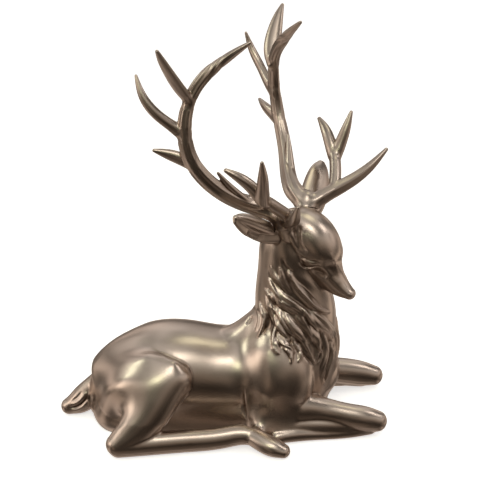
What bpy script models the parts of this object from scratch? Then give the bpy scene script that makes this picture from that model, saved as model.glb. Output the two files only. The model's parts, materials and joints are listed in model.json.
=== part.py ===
# Reindeer figurine: a buck lying with its head turned over its right shoulder and lowered.
# One body, cast with its legs, tail, ears and mane, and two antlers set on flat seats on its head.
# X runs from the tail to the chest, Y to the animal's left, Z up; it stands on Z = 0.
import math

import bpy
import numpy as np
from mathutils import Vector
from mathutils.bvhtree import BVHTree

# Driving sizes, in metres
FIGURE_HEIGHT = 0.325        # from the table to the highest antler point
SEAT_GAP = 0.0003            # between an antler's foot and its seat on the head
SEAT_RADIUS = 0.0090         # of the round boss that an antler stands on
CORONET_OVERHANG = 0.0010    # of the ring round an antler's foot, past the boss
CORONET_HEIGHT = 0.0035      # of that ring above the seat

# The form is set out in shares of the height, called units, and the tables below are in them
HEIGHT_SHARES = 324.45
UNIT = FIGURE_HEIGHT / HEIGHT_SHARES
CENTRE = (-22.0, 15.4)       # the middle of the plan, which goes to the origin

# The head's own axes: it is turned to the animal's right by this angle about an upright line
HEAD_TURN = 31.3
HEAD_ROOT = (37.0, 0.0)

# How finely the forms are fused and how many triangles are kept
BODY_VOXEL = 1.3
BODY_TRIANGLES = 7150
ANTLER_VOXEL = 0.9
ANTLER_TRIANGLES = 1190
SMOOTH_STEPS = 3
SOFT_STEPS = 70              # of the blending between two muscles
SOFT_STRIDE = 0.5            # how far a point goes towards its neighbours' middle in one of those steps
LOFT_CAP_RINGS = 5

# The paint on every piece
PAINT_COLOUR = (0.42, 0.34, 0.27)
PAINT_ROUGHNESS = 0.32


def natural_spline(rows, count):
    """Rows read off at even steps along a natural cubic spline whose parameter is the chord length."""
    rows = np.asarray(rows, float)
    steps = np.linalg.norm(np.diff(rows[:, :3], axis=0), axis=1)
    at = np.concatenate([[0.0], np.cumsum(steps)])
    size = len(rows)
    system = np.eye(size)
    right = np.zeros_like(rows)
    for k in range(1, size - 1):
        system[k, k - 1] = steps[k - 1]
        system[k, k] = 2.0 * (steps[k - 1] + steps[k])
        system[k, k + 1] = steps[k]
        right[k] = 6.0 * ((rows[k + 1] - rows[k]) / steps[k] - (rows[k] - rows[k - 1]) / steps[k - 1])
    bend = np.linalg.solve(system, right)
    wanted = np.linspace(0.0, at[-1], count)
    left = np.clip(np.searchsorted(at, wanted, side="right") - 1, 0, size - 2)
    span = steps[left][:, None]
    b = (wanted - at[left])[:, None] / span
    a = 1.0 - b
    cubic = ((a**3 - a) * bend[left] + (b**3 - b) * bend[left + 1]) * span**2 / 6.0
    return a * rows[left] + b * rows[left + 1] + cubic


def loft(rows, side, side_end=None, rings=24, sides=20, box=1.0, keel=0.0, cup=0.0):
    """A closed skin over sections: rows are x, y, z, half width, half depth.

    side is the direction of the half width, and turns to side_end along the form; with side None each
    row holds its own direction in three more numbers.
    box under 1 squares a section, keel narrows its upper side, cup bends it into a leaf.
    """
    line = natural_spline(rows, rings)
    centre = line[:, :3]
    wide = np.maximum(line[:, 3], 0.2)
    deep = np.maximum(line[:, 4], 0.2)
    ahead = np.gradient(centre, axis=0)
    ahead /= np.linalg.norm(ahead, axis=1)[:, None]
    if side is None:
        across = line[:, 5:8]
    else:
        share = np.linspace(0.0, 1.0, rings)[:, None]
        last = side if side_end is None else side_end
        across = np.asarray(side, float) * (1.0 - share) + np.asarray(last, float) * share

    turn = np.linspace(0.0, math.pi / 2, LOFT_CAP_RINGS + 1)[1:]
    first_r = min(wide[0], deep[0])
    last_r = min(wide[-1], deep[-1])
    foot = centre[0] - ahead[0] * (first_r * np.sin(turn))[::-1, None]
    tip = centre[-1] + ahead[-1] * (last_r * np.sin(turn))[:, None]
    fade = np.maximum(np.cos(turn), 0.02)
    centre = np.concatenate([foot, centre, tip])
    wide = np.concatenate([wide[0] * fade[::-1], wide, wide[-1] * fade])
    deep = np.concatenate([deep[0] * fade[::-1], deep, deep[-1] * fade])
    ahead = np.concatenate([ahead[:1]] * LOFT_CAP_RINGS + [ahead] + [ahead[-1:]] * LOFT_CAP_RINGS)
    across = np.concatenate([across[:1]] * LOFT_CAP_RINGS + [across] + [across[-1:]] * LOFT_CAP_RINGS)

    x_axis = across - (across * ahead).sum(1)[:, None] * ahead
    x_axis /= np.linalg.norm(x_axis, axis=1)[:, None]
    y_axis = np.cross(ahead, x_axis)
    angle = np.linspace(0.0, 2.0 * math.pi, sides, endpoint=False)
    u = np.sign(np.cos(angle)) * np.abs(np.cos(angle)) ** box
    v = np.sign(np.sin(angle)) * np.abs(np.sin(angle)) ** box
    out = wide[:, None] * u * (1.0 - keel * v)
    up = deep[:, None] * v + cup * wide[:, None] * u**2
    grid = centre[:, None] + x_axis[:, None] * out[..., None] + y_axis[:, None] * up[..., None]

    points = [tuple(p) for p in grid.reshape(-1, 3)]
    faces = []
    for i in range(len(grid) - 1):
        for j in range(sides):
            k = (j + 1) % sides
            faces.append((i * sides + j, i * sides + k, (i + 1) * sides + k, (i + 1) * sides + j))
    faces.append(tuple(range(sides - 1, -1, -1)))
    faces.append(tuple(range((len(grid) - 1) * sides, len(grid) * sides)))
    return points, faces


def head_point(forward, left, up):
    """A point given in the head's axes, as a point of the figure."""
    turn = math.radians(HEAD_TURN)
    x = HEAD_ROOT[0] + forward * math.cos(turn) + left * math.sin(turn)
    y = HEAD_ROOT[1] - forward * math.sin(turn) + left * math.cos(turn)
    return (x, y, up)


def head_direction(forward, left, up):
    """A direction given in the head's axes."""
    point = head_point(forward, left, up)
    return (point[0] - HEAD_ROOT[0], point[1] - HEAD_ROOT[1], up)


def head_rows(rows, hand=1):
    """Station rows given in the head's axes; hand -1 mirrors them to its right side."""
    return [head_point(row[0], hand * row[1], row[2]) + tuple(row[3:]) for row in rows]


def mirrored(rows):
    """Station rows mirrored to the other side of the figure."""
    return [(row[0], -row[1]) + tuple(row[2:]) for row in rows]


def mesh_object(name, skins, collection):
    """One object from several closed skins, in metres, with the plan's centre at the origin."""
    points = []
    faces = []
    for skin_points, skin_faces in skins:
        start = len(points)
        points += skin_points
        faces += [tuple(start + k for k in face) for face in skin_faces]
    shift = np.array([CENTRE[0], CENTRE[1], 0.0])
    placed = (np.array(points) - shift) * UNIT
    mesh = bpy.data.meshes.new(name)
    mesh.from_pydata([tuple(p) for p in placed], [], faces)
    mesh.update()
    made = bpy.data.objects.new(name, mesh)
    collection.objects.link(made)
    return made


def apply_modifiers(obj):
    """Replaces an object's mesh by its evaluated one and clears its modifiers."""
    graph = bpy.context.evaluated_depsgraph_get()
    mesh = bpy.data.meshes.new_from_object(obj.evaluated_get(graph))
    obj.modifiers.clear()
    obj.data = mesh


def melt(obj, voxel):
    """Turns overlapping skins into one skin."""
    remesh = obj.modifiers.new("One skin", "REMESH")
    remesh.mode = "VOXEL"
    remesh.voxel_size = voxel * UNIT


def fuse(obj, voxel, triangles):
    """Melts overlapping skins into one skin, smooths it and keeps about as many triangles as asked."""
    melt(obj, voxel)
    smooth = obj.modifiers.new("Soft blends", "SMOOTH")
    smooth.factor = 0.5
    smooth.iterations = SMOOTH_STEPS
    apply_modifiers(obj)
    found = sum(len(face.vertices) - 2 for face in obj.data.polygons)
    thin = obj.modifiers.new("Fewer faces", "DECIMATE")
    thin.ratio = min(1.0, triangles / found)
    apply_modifiers(obj)


def cut(obj, cutter):
    """Takes the cutter away from the object."""
    boolean = obj.modifiers.new("Cut " + cutter.name, "BOOLEAN")
    boolean.operation = "DIFFERENCE"
    boolean.solver = "EXACT"
    boolean.object = cutter


def paint(name):
    """A material of satin metallic paint."""
    made = bpy.data.materials.new(name)
    made.use_nodes = True
    shader = made.node_tree.nodes["Principled BSDF"]
    shader.inputs["Base Color"].default_value = (*PAINT_COLOUR, 1.0)
    shader.inputs["Metallic"].default_value = 1.0
    shader.inputs["Roughness"].default_value = PAINT_ROUGHNESS
    return made


# Body: trunk, rump, belly and neck, stations x, y, z, half width, half depth
TRUNK = [
    (-132, 0, 22, 9, 9), (-127, 0, 23, 19, 18), (-118, 0, 27, 28, 26), (-107, 0, 31.5, 36, 32.5),
    (-93, 0, 35.5, 40.5, 37), (-76, 0, 39, 42, 41), (-56, 0, 40, 41, 41.5), (-33, 0, 38, 39.5, 39.5),
    (-10, 0, 38, 39, 38.5), (16, 0, 40.5, 38.5, 39), (38, 0, 41, 34, 36), (51, 0, 41, 24.5, 26.5),
]
BELLY = [
    (-118, 0, 9, 16, 10), (-104, 0, 13, 28, 15), (-80, 0, 14, 38, 17), (-30, 0, 14, 42, 17),
    (20, 0, 13, 38, 16), (44, 0, 13, 27, 14),
]
NECK = [
    (29.5, 0, 38, 36, 42.5), (33.6, 0, 62, 36, 40.1), (35, 0, 81, 31.5, 37), (36.8, 0, 96, 29, 33.7),
    (35.2, 0, 110, 26.5, 31.8), (33, 0, 125, 24, 28.5), (30.6, -1, 144, 21.5, 24.4), (30.4, -2, 160, 19, 21),
    (36, -4, 172, 15, 15),
]
WITHERS = [
    (-36, 0, 56, 21, 16), (-22, 0, 60, 21, 16.5), (-9, 0, 65, 19.5, 16.5), (3.5, 0, 75, 17, 16),
    (14, 0, 88, 14, 14),
]
RUMP = [(-124, -10, 18, 11, 17), (-113, -18, 16, 19, 22), (-100, -24, 15, 20, 22)]


def skull_row(top_forward, top_up, low_forward, low_up, half_width):
    """A head section from its brow line point and its jaw line point in the head's middle plane."""
    forward = (top_forward + low_forward) / 2
    up = (top_up + low_up) / 2
    deep = math.hypot(top_forward - low_forward, top_up - low_up) / 2
    return head_point(forward, 0, up) + (half_width, deep)


# Head: crown, brow, bridge and muzzle, from the back of the skull to the nose
SKULL = [
    skull_row(-12, 176, -12, 152, 11), skull_row(-3, 185, -6, 143, 16.5), skull_row(7, 187, 1, 137, 18.5),
    skull_row(17, 181.5, 9, 132, 18.3), skull_row(23.5, 171, 16, 128, 16.4),
    skull_row(26.5, 158.5, 23, 124, 12.4),
    skull_row(33, 146, 31, 120.5, 9.6), skull_row(41.5, 135, 40, 118.3, 7.4),
    skull_row(49.5, 127.5, 48, 118.3, 5.4),
]

# Closed eye and the ridge from the temple down to its corner, in the head's axes on its left side
EYELID = [
    (13, 16.4, 153.8, 2.6, 1.8), (19, 16.6, 152, 4, 2.8), (24.5, 14.9, 150, 3.6, 2.5), (30, 10.6, 148.2, 2, 1.5),
]
TEMPLE = [
    (2, 20.5, 177, 3, 3), (6, 18.6, 171, 3.2, 3.2), (8.5, 17.2, 165.5, 3, 3), (11.5, 16.6, 160, 2.6, 2.4),
    (15, 16, 156, 2, 1.8),
]

# Ears, in the head's axes on its left side, and the direction of each one's width on that same side
EAR = [
    (-3, 15, 164, 5, 5), (-4.5, 24, 170, 9, 5), (-6, 36, 178, 11.8, 4), (-9.3, 49, 186.8, 11.4, 3),
    (-12, 59, 193.8, 9.4, 2.6), (-14, 65.5, 198, 6, 2.2), (-14.8, 68, 199.8, 3.6, 1.8),
]
EAR_ACROSS = (0.75, 0, -0.75)
RIGHT_EAR = [
    (-4, 14, 165, 5, 5), (-7, 22, 169, 7, 4.6), (-10, 31, 174, 8.6, 3.4), (-13, 41, 180, 9.2, 2.8),
    (-15.7, 50.5, 186.4, 8.4, 2.6), (-17.7, 58, 191.4, 6, 2.4), (-18.6, 61.8, 193.8, 3.8, 2),
]
RIGHT_EAR_ACROSS = (0.4, 0.25, -0.85)
EAR_CUP = 0.3
# The rolled upper edge: how far it is from the ear's middle line and how thick, in half widths
EAR_ROLL_AWAY = 0.6
EAR_ROLL = 0.4

# Legs on the right side, nearest the head's turn, stations in the figure's axes
THIGH = [
    (-112, -16, 36, 15, 20), (-99, -24, 41, 20, 25), (-83, -33, 48, 18.5, 27), (-69, -40.5, 54, 14.5, 24),
    (-57, -45.5, 59, 9.5, 17),
]
HAUNCH = [
    (-98, -43, 35, 11, 12), (-89, -46, 41, 15, 16), (-78, -48, 49, 15, 17), (-67, -48, 56, 12.5, 15),
    (-59, -47, 59, 10, 12.5),
]
FAR_THIGH = [
    (-108, 20, 30, 16, 20), (-97, 28, 32, 18, 22), (-83, 36, 34, 16, 22), (-69, 43, 36, 13, 19),
    (-58, 47, 38, 9, 14),
]
FAR_HAUNCH = [(-97, 44, 26, 12, 10), (-86, 48, 30, 14, 12), (-74, 49, 34, 13, 13), (-62, 48, 38, 10, 10)]
SHANK = [
    (-59, -45, 58, 13, 13.5), (-71, -51, 45, 14.5, 17), (-86, -59, 28, 12.5, 17), (-99, -65.5, 15, 10, 12.5),
    (-106, -68.5, 10, 8.5, 9.5),
]
FAR_SHANK = [
    (-60, 46, 37, 11, 12), (-72, 52, 29, 12.5, 14), (-86, 60, 20, 11.5, 14), (-99, 65.5, 12.5, 9.5, 11.5),
    (-106, 68.5, 10, 8.5, 9.5),
]
HIND_SHIN = [
    (-105, -69, 9, 8, 9.2), (-85, -66, 9.2, 8.5, 9.4), (-50, -61, 9.2, 8.5, 9.4), (-22, -57.5, 10, 8.2, 9),
    (-6, -56, 11.8, 8, 8.4), (6, -58.5, 11, 7, 7.2),
]
HIND_HOOF = [
    (1, -58.5, 11.5, 6.5, 6.8), (10.5, -64, 9.3, 8, 7.8), (20.5, -68.5, 7.2, 8.2, 7.4),
    (26.5, -70.5, 5.8, 6.6, 5.6),
]
SHOULDER = [(19, -22, 72, 16, 23), (23, -30, 54, 17, 28), (24, -33, 40, 15.5, 26), (20, -34, 25, 13, 19)]
FAR_SHOULDER = [(23, 16, 58, 13, 19), (25, 26, 47, 16, 25), (24, 32, 35, 15.5, 24), (20, 33, 24, 13, 18)]
FOREARM = [
    (8, -38, 17, 11, 13), (24, -36, 20, 12, 15), (43, -34.5, 22, 11.5, 14.5), (61, -34.5, 20.3, 9.8, 11.6),
    (80, -37, 17.5, 9, 10.6), (97, -38, 14.5, 9, 10.4), (104, -38, 13, 8.2, 9),
]
CANNON = [
    (98, -38, 7, 6, 6), (80, -42, 5.2, 4.8, 5.2), (55, -45, 5, 4.6, 5), (38, -47, 6, 5.6, 6),
    (22, -50, 5.5, 5.6, 5.6),
]
FORELEG_WEB = [(10, -40, 8, 10, 9), (45, -38, 8, 7, 9), (82, -39.5, 8, 5, 8)]
FAR_FOREARM = [
    (8, 38, 17, 11, 13), (24, 36, 20, 12, 15), (43, 33.5, 22.5, 11.5, 14.5), (62, 35, 20, 10.5, 12),
    (86, 37, 16, 10, 11.8), (103, 38, 12.5, 9, 10.4), (108.5, 38, 11.5, 8.2, 9),
]
FAR_CANNON = [(98, 38, 7, 6, 6), (80, 41, 5.2, 4.8, 5.2), (55, 44, 5, 4.4, 5), (38, 45, 6, 5.4, 6)]
# Where two muscles run into each other without a crease, as balls x, y, z, radius
SOFT_PLACES = [
    (-87, -55, 47, 24), (-106, -28, 60, 28), (-111, -37, 40, 17), (-3, -37, 58, 21), (-3, -28, 71, 19),
    (6, -24, 84, 17), (-88, 54, 32, 24), (-106, 28, 58, 28), (-111, 37, 34, 17), (-3, 35, 54, 20),
    (-3, 28, 69, 19), (6, 24, 82, 17),
]
TAIL = [(-123, 0, 32, 8, 9), (-134, -2, 19.5, 9, 11.5), (-145, -4, 10.5, 9, 10.5), (-153, -5, 7, 7, 7.2)]

# Antlers, in the head's axes on its left side
BEAM = [
    (-1, 17.5, 180, 8, 8.5), (-7, 19, 185.5, 8.4, 8.4), (-15, 22, 189.5, 8.4, 7.8),
    (-25, 31, 194.5, 7.6, 6.9), (-41, 52, 211, 6.8, 5.9), (-55, 65, 235, 6.2, 5.2),
    (-60, 66, 260, 5.8, 4.4), (-54, 58, 290, 5, 4.2), (-34.5, 46.5, 312, 4.4, 3.5),
    (-20.5, 37.5, 323, 1.5, 1.5),
]
BROW_TINE = [
    (0, 17.5, 181, 7.5, 7.5), (10, 29, 189, 6.2, 6.6), (22, 45, 197, 5.2, 5.6), (32, 60, 206.5, 4, 4.2),
    (41, 73.2, 220, 1.7, 1.7),
]
FORK_STEM = [(14, 36, 193.5, 5, 5), (9, 47, 203.5, 4.8, 4.8), (2.7, 57, 213, 4.8, 4.8)]
FORK_FRONT = [
    (3, 57, 211, 5.6, 5.2), (5, 61.5, 221, 5.2, 4.6), (7.7, 66, 234, 4, 3.7), (9.6, 70.6, 247, 1.5, 1.5),
]
FORK_BACK = [
    (2, 57, 212, 5.6, 5), (-4.5, 61.5, 222.5, 5.2, 4.6), (-12, 67, 230.5, 4.2, 3.8),
    (-20, 72, 236, 1.9, 1.9),
]
TOP_TINE = [
    (-58, 60.5, 279, 5.5, 3.6), (-62.5, 66.5, 289, 7, 3.8), (-65.5, 76, 303.5, 6.2, 3.2),
    (-66.3, 84, 315, 3.8, 2.4), (-66, 89, 322, 1.6, 1.4),
]
BACK_TINE = [
    (-59, 65.5, 254, 6.5, 4), (-67, 69, 260, 4.8, 3.8), (-78.5, 75.5, 270.5, 4.1, 3.5),
    (-88, 78, 282.5, 3.4, 3), (-94.3, 77.2, 297.5, 1.2, 1.2),
]
LOW_TINE = [
    (-53, 63, 231, 5.5, 4.2), (-63, 67, 235.5, 5.2, 3.4), (-72.5, 71.5, 239, 4, 2.8),
    (-80.6, 77, 242, 1.5, 1.4),
]
SPUR = [(-25, 34, 197, 4.5, 3.5), (-33, 45, 211, 3.2, 2.8), (-39, 53.5, 224.5, 1.2, 1.2)]

# The seat of an antler on the head, in the head's axes on its left side
SEAT_POINT = (-1.0, 17.5, 179.5)
SEAT_LEAN = (-0.15, 0.42, 0.895)

# The boss under a seat and the ring above it, from below upwards along the seat's own upright.
# A boss row is a step and a radius in seat radii; a ring row is a step in ring heights and a share of
# the ring's radius.
BOSS = [(-1.33, 1.1), (-0.55, 1.0), (0.0, 1.0), (0.35, 1.0)]
CORONET = [(-0.86, 0.92), (0.4, 1.0), (1.2, 0.86), (2.0, 0.8)]
DRUM_DEPTH = 2.2             # of the drum that cuts a seat flat, in seat radii
BOSS_DRUM = 1.4              # its radius over the boss, in seat radii: it clears the boss and spares the ear
FOOT_DRUM = 3.3              # its radius under an antler, in seat radii

# Mane: locks of hair on the right side of the neck, as half width and points of angle and height.
# The angle is about an upright line in the neck: 0 at the chest, -90 on the right side, then to the nape.
MANE_AXIS = (34.0, 0.0)
MANE_REACH = 120.0
LOCK_RISE = 1.15             # how far its ridge stands out, in its own half widths
LOCK_RINGS = 16
MANE = [
    (2.4, [(-135, 143), (-130, 138), (-116, 132), (-106, 126), (-97, 122)]),
    (2.4, [(-116, 144), (-112, 136), (-103, 129), (-94, 124)]),
    (4.4, [(-98, 141), (-89, 132), (-77, 125), (-65, 118), (-52, 110), (-31, 103)]),
    (3.6, [(-137, 131), (-125, 125), (-111, 120), (-95, 116), (-81, 111), (-69, 103)]),
    (3.8, [(-146, 121), (-124, 117), (-106, 113), (-90, 109), (-76, 104), (-69, 96)]),
    (3.8, [(-128, 109), (-113, 104), (-103, 99), (-94, 93), (-85, 87)]),
    (3.4, [(-87, 110), (-78, 103), (-71, 96), (-65, 87)]),
    (4.2, [(-102, 105), (-93, 97), (-82, 91), (-68, 81)]),
    (4.0, [(-126, 105), (-116, 99), (-106, 91), (-95, 85)]),
    (2.8, [(-116, 96), (-118, 89), (-112, 83), (-106, 76)]),
    (3.0, [(-114, 92), (-105, 85), (-96, 81), (-87, 76)]),
    (2.8, [(-104, 85), (-98, 79), (-92, 75), (-92, 69)]),
    (2.8, [(-91, 87), (-84, 80), (-80, 74), (-84, 69)]),
    (3.6, [(-84, 89), (-74, 80), (-67, 72), (-61, 64)]),
    (4.2, [(-73, 110), (-62, 103), (-50, 95), (-36, 85), (-28, 73)]),
    (3.6, [(-58, 107), (-46, 100), (-35, 91), (-19, 76), (-21, 66)]),
    (3.6, [(-71, 98), (-61, 89), (-53, 80), (-54, 73), (-59, 66)]),
    (3.4, [(-50, 91), (-43, 81), (-42, 71), (-47, 61), (-50, 54), (-45, 41)]),
    (3.0, [(-34, 77), (-32, 66), (-36, 56), (-41, 47), (-45, 41)]),
    (2.8, [(-158, 108), (-147, 102), (-138, 97), (-138, 90), (-140, 83)]),
    (2.6, [(-144, 115), (-135, 107), (-129, 100), (-121, 95)]),
    (2.4, [(-8, 92), (-6, 80), (-9, 68), (-16, 56)]),
]


def surface_tree(skins):
    """A search tree over the skins that the mane lies on."""
    points = []
    faces = []
    for skin_points, skin_faces in skins:
        start = len(points)
        points += [Vector(point) for point in skin_points]
        faces += [[start + k for k in face] for face in skin_faces]
    return BVHTree.FromPolygons(points, faces)


def lock_skin(tree, half_width, places, hand):
    """One lock of hair: a tapered ridge along a path that is laid on the neck from outside."""
    path = natural_spline([(angle, height, 0.0) for angle, height in places], LOCK_RINGS)
    spots = []
    for angle, height in path[:, :2]:
        turn = math.radians(-hand * angle)
        out = Vector((math.cos(turn), math.sin(turn), 0.0))
        start = Vector((MANE_AXIS[0], MANE_AXIS[1], height)) + out * MANE_REACH
        spots.append(np.array(tree.ray_cast(start, -out)[0]))
    spots = np.array(spots)
    ahead = np.gradient(spots, axis=0)
    middle = np.array([MANE_AXIS[0], MANE_AXIS[1], 0.0])
    outward = (spots - middle) * np.array([1.0, 1.0, 0.0])
    across = np.cross(outward, ahead)
    across /= np.linalg.norm(across, axis=1)[:, None]
    outward /= np.linalg.norm(outward, axis=1)[:, None]
    along = np.linspace(0.0, 1.0, LOCK_RINGS)
    swell = np.sin(math.pi * (0.04 + 0.92 * along**0.8))
    rise = LOCK_RISE * half_width
    sunk = spots - outward * (0.75 * rise * (1.0 - swell))[:, None]
    wide = half_width * (0.3 + 0.7 * swell)
    rows = np.column_stack([sunk, wide, np.full(LOCK_RINGS, rise), across])
    return loft(rows, None, rings=LOCK_RINGS, sides=12, box=1.25)


def ear_skins(rows, width, hand):
    """One ear: a cupped leaf whose upper edge is rolled; a hand of -1 is the head's right."""
    across = np.array([width[0], hand * width[1], width[2]])
    across /= np.linalg.norm(across)
    leaf = np.array(rows, float)
    leaf[:, 1] *= hand
    roll = leaf.copy()
    roll[:, :3] -= across * (EAR_ROLL_AWAY * leaf[:, 3])[:, None]
    roll[:, 3:] = EAR_ROLL * leaf[:, 3:4]
    side = head_direction(*across)
    return [
        loft(head_rows(leaf.tolist()), side, rings=24, sides=24, cup=EAR_CUP),
        loft(head_rows(roll.tolist()), side, rings=24, sides=14),
    ]


def muscle_skins():
    """The closed skins of the trunk, neck and legs."""
    skins = [
        loft(TRUNK, (0, -1, 0), rings=44, sides=44, box=0.95),
        loft(BELLY, (0, -1, 0), rings=24, sides=24, box=0.7),
        loft(WITHERS, (0, -1, 0), rings=14, sides=20),
        loft(RUMP, (0, 1, 0), rings=14, sides=22),
        loft(mirrored(RUMP), (0, 1, 0), rings=14, sides=22),
        loft(NECK, (0, 1, 0), head_direction(0, 1, 0), rings=38, sides=40),
        loft(TAIL, (0, 1, 0), rings=12, sides=16),
        loft(CANNON, (0, 1, 0), rings=14, sides=14),
        loft(FAR_CANNON, (0, 1, 0), rings=14, sides=14),
        loft(FOREARM, (0, 1, 0), rings=24, sides=20),
        loft(FAR_FOREARM, (0, 1, 0), rings=24, sides=20),
    ]
    skins += [
        loft(THIGH, (0, 1, 0), rings=20, sides=28),
        loft(HAUNCH, (0, 1, 0), rings=16, sides=24),
        loft(FAR_HAUNCH, (0, 1, 0), rings=16, sides=24),
        loft(FAR_THIGH, (0, 1, 0), rings=20, sides=28),
        loft(SHOULDER, (0, 1, 0), rings=16, sides=26),
        loft(FAR_SHOULDER, (0, 1, 0), rings=16, sides=26),
        loft(SHANK, (0.3, 1, 0), rings=18, sides=22),
        loft(FAR_SHANK, (-0.3, 1, 0), rings=18, sides=22),
    ]
    for side_of in (list, mirrored):
        skins += [
            loft(side_of(HIND_SHIN), (0, 1, 0), rings=26, sides=18),
            loft(side_of(HIND_HOOF), (0, 1, 0), rings=12, sides=18),
            loft(side_of(FORELEG_WEB), (0, 1, 0), rings=12, sides=14, box=0.8),
        ]
    return skins


def soft_share(points):
    """How freely each point may blend: 1 in the middle of a soft place, 0 outside all of them."""
    share = np.zeros(len(points))
    for x, y, z, radius in SOFT_PLACES:
        away = np.linalg.norm(points - np.array([x, y, z]), axis=1) / radius
        share = np.maximum(share, np.clip(1.0 - away**2, 0.0, 1.0))
    return share


def blended_muscles(collection):
    """The muscles as one skin, in units, relaxed in the soft places so that no crease is left there."""
    muscles = mesh_object("muscles", muscle_skins(), collection)
    melt(muscles, BODY_VOXEL)
    apply_modifiers(muscles)
    mesh = muscles.data
    size = len(mesh.vertices)
    points = np.array([tuple(vertex.co) for vertex in mesh.vertices]) / UNIT
    points += np.array([CENTRE[0], CENTRE[1], 0.0])
    ends = np.array([tuple(edge.vertices) for edge in mesh.edges])
    faces = [tuple(face.vertices) for face in mesh.polygons]
    bpy.data.objects.remove(muscles, do_unlink=True)
    first = np.concatenate([ends[:, 0], ends[:, 1]])
    other = np.concatenate([ends[:, 1], ends[:, 0]])
    valence = np.bincount(first, minlength=size)[:, None]
    share = SOFT_STRIDE * soft_share(points)[:, None]
    for _ in range(SOFT_STEPS):
        total = np.stack([np.bincount(first, points[other, axis], size) for axis in range(3)], axis=1)
        points += (total / valence - points) * share
    return [tuple(point) for point in points], faces


def body_skins(collection):
    """The closed skins that together make the cast body."""
    skins = [blended_muscles(collection)]
    tree = surface_tree(skins)
    for hand, ear, ear_across in ((-1, RIGHT_EAR, RIGHT_EAR_ACROSS), (1, EAR, EAR_ACROSS)):
        skins += [lock_skin(tree, half_width, places, hand) for half_width, places in MANE]
        skins += ear_skins(ear, ear_across, hand)
        skins.append(loft(head_rows(EYELID, hand), head_direction(0, 0, 1), rings=12, sides=12))
        skins.append(loft(head_rows(TEMPLE, hand), head_direction(0, 0, 1), rings=14, sides=12))
        skins.append(boss_skin(hand))
    skins.append(loft(SKULL, head_direction(0, -1, 0), rings=34, sides=36, keel=0.14, box=0.95))
    return skins


def seat_frame(hand):
    """The seat's middle in metres and its upright direction, for the left (1) or right (-1) antler."""
    spot = head_point(SEAT_POINT[0], hand * SEAT_POINT[1], SEAT_POINT[2])
    middle = Vector((spot[0] - CENTRE[0], spot[1] - CENTRE[1], spot[2])) * UNIT
    lean = Vector(head_direction(SEAT_LEAN[0], hand * SEAT_LEAN[1], SEAT_LEAN[2])).normalized()
    return middle, lean


def boss_skin(hand):
    """The round boss under an antler, running past the seat, where it is cut flat."""
    spot = np.array(head_point(SEAT_POINT[0], hand * SEAT_POINT[1], SEAT_POINT[2]))
    lean = np.array(head_direction(SEAT_LEAN[0], hand * SEAT_LEAN[1], SEAT_LEAN[2]))
    radius = SEAT_RADIUS / UNIT
    rows = [tuple(spot + lean * radius * step) + (radius * share, radius * share) for step, share in BOSS]
    return loft(rows, head_direction(1, 0, 0), rings=10, sides=20)


def antler_skins(hand):
    """The closed skins that together make one antler."""
    def side(forward, left, up):
        return head_direction(forward, hand * left, up)

    spot = np.array(head_point(SEAT_POINT[0], hand * SEAT_POINT[1], SEAT_POINT[2]))
    lean = np.array(head_direction(SEAT_LEAN[0], hand * SEAT_LEAN[1], SEAT_LEAN[2]))
    ring = (SEAT_RADIUS + CORONET_OVERHANG) / UNIT
    high = CORONET_HEIGHT / UNIT
    coronet = [tuple(spot + lean * high * step) + (ring * share, ring * share) for step, share in CORONET]
    return [
        loft(coronet, side(1, 0, 0), rings=12, sides=20),
        loft(head_rows(BEAM, hand), side(-0.7, 0.3, -0.6), rings=44, sides=18),
        loft(head_rows(BROW_TINE, hand), side(1, -0.5, 0), rings=20, sides=16),
        loft(head_rows(FORK_STEM, hand), side(1, 0, 0), rings=10, sides=16),
        loft(head_rows(FORK_FRONT, hand), side(1, 0, 0), rings=14, sides=14),
        loft(head_rows(FORK_BACK, hand), side(1, 0, 0), rings=14, sides=14),
        loft(head_rows(TOP_TINE, hand), side(-1, 0, 0.5), rings=16, sides=14),
        loft(head_rows(BACK_TINE, hand), side(0, 0, 1), rings=18, sides=14),
        loft(head_rows(LOW_TINE, hand), side(0, 0, 1), rings=14, sides=14),
        loft(head_rows(SPUR, hand), side(1, 0, 0), rings=10, sides=10),
    ]


def ground_cutter(collection):
    """A slab under the table plane that leaves the underside flat."""
    depth = FIGURE_HEIGHT / 10
    bpy.ops.mesh.primitive_cube_add(size=1.0, location=(0, 0, -depth / 2))
    slab = bpy.context.active_object
    slab.name = "Table plane"
    slab.scale = (2 * FIGURE_HEIGHT, 2 * FIGURE_HEIGHT, depth)
    return into_cutters(slab, collection)


def seat_cutter(hand, above, collection):
    """A drum on one side of a seat plane: above it for the head, below it for the antler."""
    middle, lean = seat_frame(hand)
    depth = DRUM_DEPTH * SEAT_RADIUS
    radius = SEAT_RADIUS * (BOSS_DRUM if above else FOOT_DRUM)
    offset = depth / 2 if above else SEAT_GAP - depth / 2
    bpy.ops.mesh.primitive_cylinder_add(vertices=48, radius=radius, depth=depth)
    drum = bpy.context.active_object
    drum.rotation_mode = "QUATERNION"
    drum.rotation_quaternion = lean.to_track_quat("Z", "Y")
    drum.location = middle + lean * offset
    drum.name = "Seat drum " + ("above " if above else "below ") + ("left" if hand > 0 else "right")
    return into_cutters(drum, collection)


def into_cutters(obj, collection):
    """Moves a cutter to the cutters' collection and keeps it out of renders."""
    for holder in list(obj.users_collection):
        holder.objects.unlink(obj)
    collection.objects.link(obj)
    obj.display_type = "WIRE"
    obj.hide_render = True
    return obj


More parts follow.
